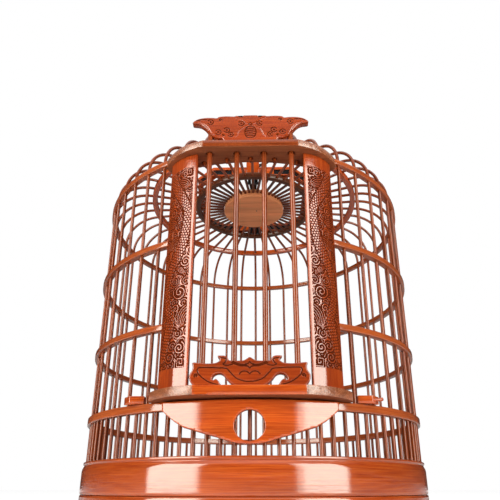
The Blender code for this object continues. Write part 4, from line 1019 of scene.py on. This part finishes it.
TOP_HALF = (
    (0, 1), (0.255, 0.985), (0.275, 0.958), (0.42, 0.975), (0.55, 0.958), (0.578, 0.905), (0.655, 0.925),
    (0.79, 0.926), (0.917, 0.881), (1, 0.777), (0.992, 0.744), (0.862, 0.717), (0.785, 0.622),
    (0.717, 0.473), (0.64, 0.307), (0.557, 0.241), (0.455, 0.235), (0.448, 0), (0, 0))
# Places in mm from the middle of the plate's foot: rings (with their radius) and lines of one wing
WING_RINGS = ((36.5, 25.7, 2.6), (8.3, 23.9, 2.5), (29.2, 14.4, 2.6), (21.4, 16.6, 2.6), (17.8, 11.6, 2.3))
WING_LINES = (((49.5, 27.4), (44.0, 28.6), (40.0, 28.2)),)
WING_RIDGES = (
    ((0.9, 22.6), (5.2, 25.4), (9.4, 28.6), (13.6, 30.6)),
    ((0.9, 22.4), (5.6, 20.0), (9.6, 16.6), (11.4, 12.0), (13.6, 9.4)),
    ((47.6, 26.4), (42.2, 23.4), (38.6, 19.6), (35.6, 13.8), (32.4, 10.4), (28.2, 9.4), (24.0, 9.2)))
WING_NOTCH = ((6.2, 33.4), (12.2, 33.0), (9.8, 31.4), (7.6, 31.0))
NOTCH_DEEP = 0.0016
TOP_LINE, RIDGE_LINE = 0.0003, 0.00034
INSECT_BODY = (
    (-4.8, 16.5), (-5.0, 12.5), (-3.4, 9.0), (0, 7.9), (3.4, 9.0), (5.0, 12.5), (4.8, 16.5), (3.0, 19.8),
    (0, 20.6), (-3.0, 19.8), (-4.8, 16.5))
INSECT_BANDS = (10.2, 12.1, 14.0, 15.9, 17.8)


def top_mm(x, z):
    return np.array([x * MM, TOP_PLATE_Z + z * MM])


def butterfly_relief(s, t):
    """Engraved insect with ringed wings, and a deep notch on each side. Returns depth and painted shade, in
    the lines and the notches.
    """
    wing = []
    for x, z, r in WING_RINGS:
        centre = top_mm(x, z)
        wing.append(ring_line(*centre, r * MM, 24, 0.85, 0.5))
        wing.append(ring_line(*centre, r * 0.22 * MM, 6))
    wing.append(spiral(*top_mm(24.4, 10.9), 1.2 * MM, 1.2, -1, 1.4, *PLATE_SPIRAL))
    wing.append(spiral(*top_mm(27.5, 28.0), 1.6 * MM, 1.1, 1, 2.4, *PLATE_SPIRAL))
    body = [INSECT_BODY]
    for z in INSECT_BANDS:
        w = 4.6 - abs(z - 13.0) * 0.35
        body.append(((-w, z + 0.5), (0, z - 0.3), (w, z + 0.5)))
    lines = both_sides(wing + drawn(WING_LINES, top_mm)) + drawn(body, top_mm)
    lines.append(ring_line(*top_mm(0, 23.3), 1.3 * MM))
    cut = strokes(s, t, lines, TOP_LINE)
    ridge = strokes(s, t, both_sides(drawn(WING_RIDGES, top_mm)), RIDGE_LINE)
    notch = np.zeros(len(s))
    for side in (-1, 1):
        corners = np.array([top_mm(side * x, z) for x, z in WING_NOTCH])
        notch = np.maximum(notch, inside(np.stack([s, t], -1), corners).astype(float))
    depth = np.maximum(np.maximum(cut, ridge) * TOP_LINE, notch * NOTCH_DEEP)
    return depth, np.maximum(cut * ENGRAVED_SHADE, notch)


gate_plate("butterfly_plate_skin", "gate_butterfly_plate", TOP_HALF, TOP_PLATE_SIZE, TOP_PLATE_Z, 0.0008,
           butterfly_relief, 16.9)

BOTTOM_HALF = (
    (0, 0.963), (0.06, 0.88), (0.11, 0.83), (0.345, 0.83), (0.355, 0.89), (0.378, 0.958), (0.42, 1),
    (0.54, 1), (0.527, 0.94), (0.492, 0.885), (0.505, 0.815), (0.565, 0.752), (0.705, 0.738),
    (0.82, 0.758), (0.96, 0.785), (0.938, 0.64), (0.942, 0.535), (0.985, 0.415), (1, 0.325), (0.98, 0.165),
    (0.925, 0.05), (0.893, 0), (0.412, 0), (0.47, 0.062), (0.505, 0.18), (0.555, 0.262), (0.585, 0.212),
    (0.621, 0.226), (0.606, 0.325), (0.565, 0.395), (0.5, 0.425), (0.433, 0.383), (0.383, 0.25),
    (0.312, 0.108), (0.235, 0.022), (0.175, 0))
# Places of the carving on a drawing, whose middle, foot and scale in mm are
DRAWING_MIDDLE, DRAWING_FOOT = 492, 312
DRAWING_SCALE = (0.11, 0.1106)
MIDDLE_LINES = (
    ((352, 206), (384, 240), (410, 260), (450, 273), (492, 277), (534, 273), (574, 260),
     (600, 240), (632, 206)),
    ((462, 170), (480, 173), (492, 184), (504, 173), (522, 170)),
    ((462, 158), (482, 152), (492, 140), (502, 152), (522, 158)))
END_LINES = (
    ((632, 206), (652, 188), (720, 183), (800, 180), (842, 184), (850, 205), (828, 240),
     (770, 280), (700, 301)),
    ((492, 224), (510, 210), (532, 206), (550, 212), (562, 226)),
    ((512, 162), (550, 160), (584, 150), (612, 138)),
    ((516, 171), (556, 168), (590, 158), (616, 148)),
    ((690, 112), (656, 120), (660, 144), (676, 158), (650, 166), (612, 160)))
BOTTOM_LINE = 0.00034


def bottom_mm(x, y):
    across, up = DRAWING_SCALE
    return np.array([(x - DRAWING_MIDDLE) * across * MM, BOTTOM_PLATE_Z + (DRAWING_FOOT - y) * up * MM])


def bottom_relief(s, t):
    """Engraved lines of the lower plate. Returns depth and painted shade in the lines."""
    ends = drawn(END_LINES, bottom_mm)
    ends.append(spiral(*bottom_mm(858, 236), 1.6 * MM, 1.2, -1, 0.5, *PLATE_SPIRAL))
    cut = strokes(s, t, drawn(MIDDLE_LINES, bottom_mm) + both_sides(ends), BOTTOM_LINE)
    return cut * BOTTOM_LINE, cut * ENGRAVED_SHADE


gate_plate("gate_plate_skin", "gate_bottom_plate", BOTTOM_HALF, BOTTOM_PLATE_SIZE, BOTTOM_PLATE_Z, 0.0009,
           bottom_relief, 17.9)

skin = Skin()
for i, x in enumerate(gate_places):
    path = [(x, AXIS_Y - GATE_DEPTH, z) for z in GATE_BAR_HEIGHTS]
    tube(skin, path, (1.0, 0.0, 0.0), GATE_BAR_R, 18, 41.3 + i * 1.9)
skin.make("gate_bars_skin", BAR_RED, "gate", ["gate_bar_%d" % n for n in range(1, 5)])


# Crown

EIGHTH = math.pi / 4
QUARTER = math.pi / 2
ALL_ROUND = (-CROWN_CORNER, 2 * math.pi - CROWN_CORNER)
SAME_TURN = 1e-6
LAP = 0.0004
BLOCK_END = 0.0004
BLOCK_INSET = 0.985
BLOCK_IN, BLOCK_OUT = 0.065, 0.07
BLOCK_WIDTH, BLOCK_ASIDE = 0.00625, 0.004125
SLOT_WIDTH, SLOT_BACK = 0.003, 0.0684


def frame_wall(skin, inner, outer, low, high, start, end, seed, edge=0.0004):
    """Straight-sided wall between two azimuths; inner and outer are the distances of its sides."""
    corners = [QUARTER * i + side * CROWN_CORNER for i in range(-1, 6) for side in (-1, 1)]
    turns = [start] + [c for c in corners if start + SAME_TURN < c < end - SAME_TURN] + [end]
    profile = rounded([(outer, low), (outer, high), (inner, high), (inner, low)], edge, 3)
    rows = []
    for turn in turns:
        side = round(turn / EIGHTH)
        apothem = math.cos(EIGHTH - CROWN_CORNER) / math.cos(CROWN_CORNER) if side % 2 else 1.0
        stretch = apothem / math.cos(turn - side * EIGHTH)
        rows.append(ring_point(turn, profile[:, 0] * stretch, profile[:, 1]))
    rows = np.array(rows)
    sweep(skin, rows, profile, along(rows[:, 0]), seed, end - start > 2 * math.pi - SAME_TURN)


def turned_box(skin, turn, width, near, far, low, high, seed, shift=0.0):
    """Upright block across one azimuth, rounded in plan."""
    out = np.array([math.sin(turn), -math.cos(turn)])
    side = np.array([math.cos(turn), math.sin(turn)])
    corners = [out * a + side * b * width / 2 for a, b in ((near, -1), (near, 1), (far, 1), (far, -1))]
    loop = rounded(corners, 0.0006, 3) + side * shift
    centre = loop.mean(0)
    inset = np.array([BLOCK_INSET, 1.0, 1.0, BLOCK_INSET])
    plan = centre + (loop - centre)[None] * inset[:, None, None]
    upright(skin, plan, loop, np.array([low, low + BLOCK_END, high - BLOCK_END, high]), seed)


skin = Skin()
for inner, outer in ((CROWN_IN, SLOT_IN), (SLOT_OUT, CROWN_OUT)):
    for low, high in ((CROWN_LOW, WINDOW_LOW), (WINDOW_TOP, CROWN_TOP)):
        frame_wall(skin, inner, outer, low, high, *ALL_ROUND, 51.0 + outer * 9 + low * 30)
    reach = math.atan((outer - WINDOW_HALF * math.sqrt(2)) / outer)
    for i in range(4):
        frame_wall(skin, inner, outer, WINDOW_LOW - LAP, WINDOW_TOP + LAP,
                   i * QUARTER - reach, i * QUARTER + reach, 55.0 + i)
frame_wall(skin, SLOT_IN - 0.0002, SLOT_OUT + 0.0002, CROWN_LOW + 0.0001, CROWN_LOW + 0.0008,
           *ALL_ROUND, 57.0, 0.0001)
for i in range(4):
    for side in (-1, 1):
        turned_box(skin, i * QUARTER, BLOCK_WIDTH, BLOCK_IN, BLOCK_OUT, CROWN_LOW,
                   CROWN_LOW + CROWN_BLOCK_HIGH, 58.0 + i + side * 0.3, side * BLOCK_ASIDE)
    turned_box(skin, i * QUARTER, SLOT_WIDTH, BLOCK_IN, SLOT_BACK, CROWN_LOW + 0.0002,
               CROWN_LOW + CROWN_BLOCK_HIGH - 0.0002, 61.0 + i)
skin.make("crown_skin", RED, "cage", ["crown_wall"])

skin = Skin()
frame_wall(skin, SLOT_IN + 0.0003, SLOT_OUT - 0.0003, CROWN_LOW + 0.0011, CROWN_TOP - 0.0003,
           *ALL_ROUND, 63.0, 0.0002)
skin.make("crown_inlay_skin", BLACK, "cage", ["crown_inlay"])


# Claw, nut, blocks, floor and tray, from the CAD's own shapes

CAD_WELD = 1e-5
FLAT_TURN = math.radians(1)
SHARP_TURN = math.radians(28)
SIDE_GRAIN = 0.37


def dressed(node, material, body, bevel, grain_axis, segments=2):
    """The node's own shape with small rounded edges and grain along one axis."""
    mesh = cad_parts[node].data.copy()
    bm = bmesh.new()
    bm.from_mesh(mesh)
    bmesh.ops.remove_doubles(bm, verts=bm.verts, dist=CAD_WELD)
    bmesh.ops.dissolve_limit(bm, angle_limit=FLAT_TURN, verts=bm.verts, edges=bm.edges)
    sharp = [e for e in bm.edges if len(e.link_faces) == 2 and e.calc_face_angle(0) > SHARP_TURN]
    bmesh.ops.bevel(bm, geom=sharp, offset=bevel, offset_type="OFFSET", segments=segments, profile=0.5,
                    affect="EDGES", clamp_overlap=True)
    for layer in list(bm.loops.layers.uv):
        bm.loops.layers.uv.remove(layer)
    layer = bm.loops.layers.uv.new("grain")
    others = [i for i in range(3) if i != grain_axis]
    for face in bm.faces:
        first, second = (abs(face.normal[i]) for i in others)
        across, rest = others if first < second else others[::-1]
        for loop in face.loops:
            co = loop.vert.co
            loop[layer].uv = (co[grain_axis], co[across] + SIDE_GRAIN * co[rest])
    bm.to_mesh(mesh)
    bm.free()
    mesh.name = node + "_skin"
    place(node + "_skin", mesh, material, body, [node], 40)


dressed("hook_claw", METAL, "cage", 0.0005, 1)
dressed("hook_nut", METAL, "hook", 0.0003, 2)
dressed("block_left", RED, "cage", 0.0005, 0)
dressed("block_right", RED, "cage", 0.0004, 0)
dressed("floor_slats", BAR_RED, "cage", 0.0003, 1, segments=1)
dressed("tray_board", TRAY_WOOD, "tray", 0.0006, 0)
for node in ("tray_rail_left", "tray_rail_right"):
    dressed(node, RED, "cage", 0.0005, 1)
for node in ("tray_crossbar_front", "tray_crossbar_rear"):
    dressed(node, RED, "cage", 0.0006, 0)


# Hook, knob and nail

BOW_STEPS = 60
HOOK_STEM = (0.396, 0.405, 0.416, 0.4255)
HOOK_TIP = (0.0029, 0.0022)
# Radius and height: the threaded end and the collar on it
HOOK_PROFILE = (
    (0.0015, 0.3792), (0.002, 0.3797), (0.002, 0.3913), (0.0042, 0.3913), (0.0048, 0.3919),
    (0.0048, 0.395), (0.004, 0.3965), (0.0026, 0.3976), (0.002, 0.3982))
# Radius and distance in front of the axis
KNOB_PROFILE = (
    (0.0032, 0.1707), (0.003, 0.1722), (0.0033, 0.1742), (0.005, 0.1752), (0.0059, 0.1768),
    (0.006, 0.1783), (0.0055, 0.1799), (0.004, 0.1811), (0.002, 0.1816))
# Radius and height above the disc's underside
NAIL_PROFILE = ((0.0004, -0.0003), (0.0008, -0.0002), (0.0009, 0.0003), (0.0004, 0.0004))
KNOB_SIDES = 32
KNOB_R = 0.006

skin = Skin()
turn = np.linspace(-QUARTER, HOOK_SWEEP - QUARTER, BOW_STEPS)
path = [(0.0, AXIS_Y, z) for z in HOOK_STEM]
path += [(HOOK_R * math.cos(a), AXIS_Y, HOOK_CENTRE_Z + HOOK_R * math.sin(a)) for a in turn]
radii = np.concatenate([np.full(len(path) - 10, HOOK_STEM_R), np.linspace(HOOK_STEM_R, 0.003, 8), HOOK_TIP])
tube(skin, path, (0.0, 1.0, 0.0), radii, 20, 71.0)
disc(skin, HOOK_PROFILE, 28, 0.9)
skin.make("hook_skin", METAL, "hook", ["hook"])

skin = Skin()
turn = np.arange(KNOB_SIDES) * 2 * np.pi / KNOB_SIDES
radius, reach = np.array(KNOB_PROFILE).T[..., None]
points = spread(radius * np.cos(turn), AXIS_Y - reach, KNOB_Z + radius * np.sin(turn))
cap = [[0.5 + KNOB_R * math.cos(a), KNOB_R * math.sin(a)] for a in turn]
skin.capped(points, grain_grid(reach[:, 0], np.arange(KNOB_SIDES + 1) * 0.0012), cap)
skin.make("tray_knob_skin", RED, "tray", ["tray_knob"])

# Nail in the middle of the disc's underside
skin = Skin()
disc(skin, np.array(NAIL_PROFILE) + (0, DISC_LOW), 16, 0.2)
nail = skin.make("disc_nail", METAL, "cage", [])
nail.data.transform(Matrix.Translation((0.0035, -0.004, 0.0)))


# Stage, lights and camera

WHITE = (1.0, 1.0, 1.0, 1.0)
FLOOR_HALF = 6
FLOOR_COLOUR = (0.86, 0.86, 0.86, 1.0)
FLOOR_GLOW = 0.75
FLOOR_MIRROR = (1.8, 3.0)
ROOM_LIGHT = 0.25
ROOM_GLOSSY = -0.22
SKY_MIRROR = (0.6, 0.85)
BOX_LOW, BOX_HIGH = 0.001, 1.22
BOX_COLOUR = (1.0, 0.99, 0.88)


def math_node(tree, kind, *values):
    node = tree.nodes.new("ShaderNodeMath")
    node.operation = kind
    for socket, value in zip(node.inputs, values):
        connect(socket, value)
    return node.outputs[0]


def ramp_up(tree, value, low, high):
    """0 below low, 1 above high."""
    return add_node(tree, "ShaderNodeMapRange", "Result", Value=value, From_Min=low, From_Max=high)


def backdrop_share(tree, mirror_share):
    """1 for what the camera sees, and the mirror's share for what metal and glass show."""
    rays = tree.nodes.new("ShaderNodeLightPath").outputs
    mirror = math_node(tree, "MAXIMUM", rays["Is Glossy Ray"], rays["Is Transmission Ray"])
    mirror = math_node(tree, "MULTIPLY", mirror, mirror_share)
    return math_node(tree, "MAXIMUM", rays["Is Camera Ray"], mirror)


def floor_material():
    """Pale floor that keeps the shadow; it glows for the camera and, far behind, in reflections."""
    material, tree, shader = new_material("pale_floor")
    reach = tree.nodes.new("ShaderNodeVectorMath")
    reach.operation = "LENGTH"
    connect(reach.inputs[0], add_node(tree, "ShaderNodeNewGeometry", "Position"))
    share = backdrop_share(tree, ramp_up(tree, reach.outputs["Value"], *FLOOR_MIRROR))
    fill(shader, Base_Color=FLOOR_COLOUR, Roughness=0.9, Specular_IOR_Level=0.1, Emission_Color=WHITE,
         Emission_Strength=math_node(tree, "MULTIPLY", share, FLOOR_GLOW))
    return material


floor_mesh = bpy.data.meshes.new("floor")
corners = [(x * FLOOR_HALF, y * FLOOR_HALF, 0) for x, y in ((-1, -1), (1, -1), (1, 1), (-1, 1))]
floor_mesh.from_pydata(corners, [], [(0, 1, 2, 3)])
floor_mesh.materials.append(floor_material())
floor = add_object("floor", floor_mesh)

world = bpy.data.worlds.new("studio")
bpy.context.scene.world = world
world.use_nodes = True
tree = world.node_tree
seen = tree.nodes["Background"]
fill(seen, Color=WHITE, Strength=1.0)
glossy = add_node(tree, "ShaderNodeLightPath", "Is Glossy Ray")
room = add_node(tree, "ShaderNodeBackground", "Background", Color=WHITE,
                Strength=math_node(tree, "MULTIPLY_ADD", glossy, ROOM_GLOSSY, ROOM_LIGHT))
direction = add_node(tree, "ShaderNodeTexCoord", "Generated")
height = add_node(tree, "ShaderNodeSeparateXYZ", "Z", Vector=direction)
pick = tree.nodes.new("ShaderNodeMixShader")
fill(pick, Fac=backdrop_share(tree, ramp_up(tree, height, *SKY_MIRROR)))
connect(pick.inputs[1], room)
connect(pick.inputs[2], seen.outputs["Background"])
fill(tree.nodes["World Output"], Surface=pick.outputs["Shader"])


def softbox(name, start, end, distance, radiance):
    """Upright area light that spans two azimuths seen from the cage."""
    middle = math.radians((start + end) / 2)
    light = bpy.data.lights.new(name, "AREA")
    light.shape = "RECTANGLE"
    width = 2 * distance * math.tan(math.radians(abs(end - start) / 2))
    height = BOX_HIGH - BOX_LOW
    light.size = width
    light.size_y = height
    light.energy = radiance * math.pi * width * height
    light.color = BOX_COLOUR
    lamp = add_object(name, light)
    lamp.location = ring_point(middle, distance, (BOX_LOW + BOX_HIGH) / 2)
    out = Vector((math.sin(middle), -math.cos(middle), 0))
    lamp.rotation_euler = out.to_track_quat("Z", "Y").to_euler()


softbox("left_box", -62, -31.5, 1.4, 6.4)
softbox("left_box_edge", -31.5, -29.5, 1.41, 3.2)
softbox("right_box", 29, 56, 1.4, 6.4)
softbox("right_box_edge", 25, 29, 1.41, 3.2)

camera_data = bpy.data.cameras.new("camera")
camera_data.sensor_width = 36.0
camera_data.lens = 34.96
camera_data.shift_x = -0.0076
camera_data.shift_y = 0.12
camera_data.clip_start = 0.01
camera = add_object("camera", camera_data)
camera.location = (0.00932, AXIS_Y - 0.534, 0.0363)
camera.rotation_euler = (math.radians(90 + 20.02), 0.0, math.radians(1.0))
bpy.context.scene.camera = camera
bpy.context.scene.view_settings.view_transform = "Standard"
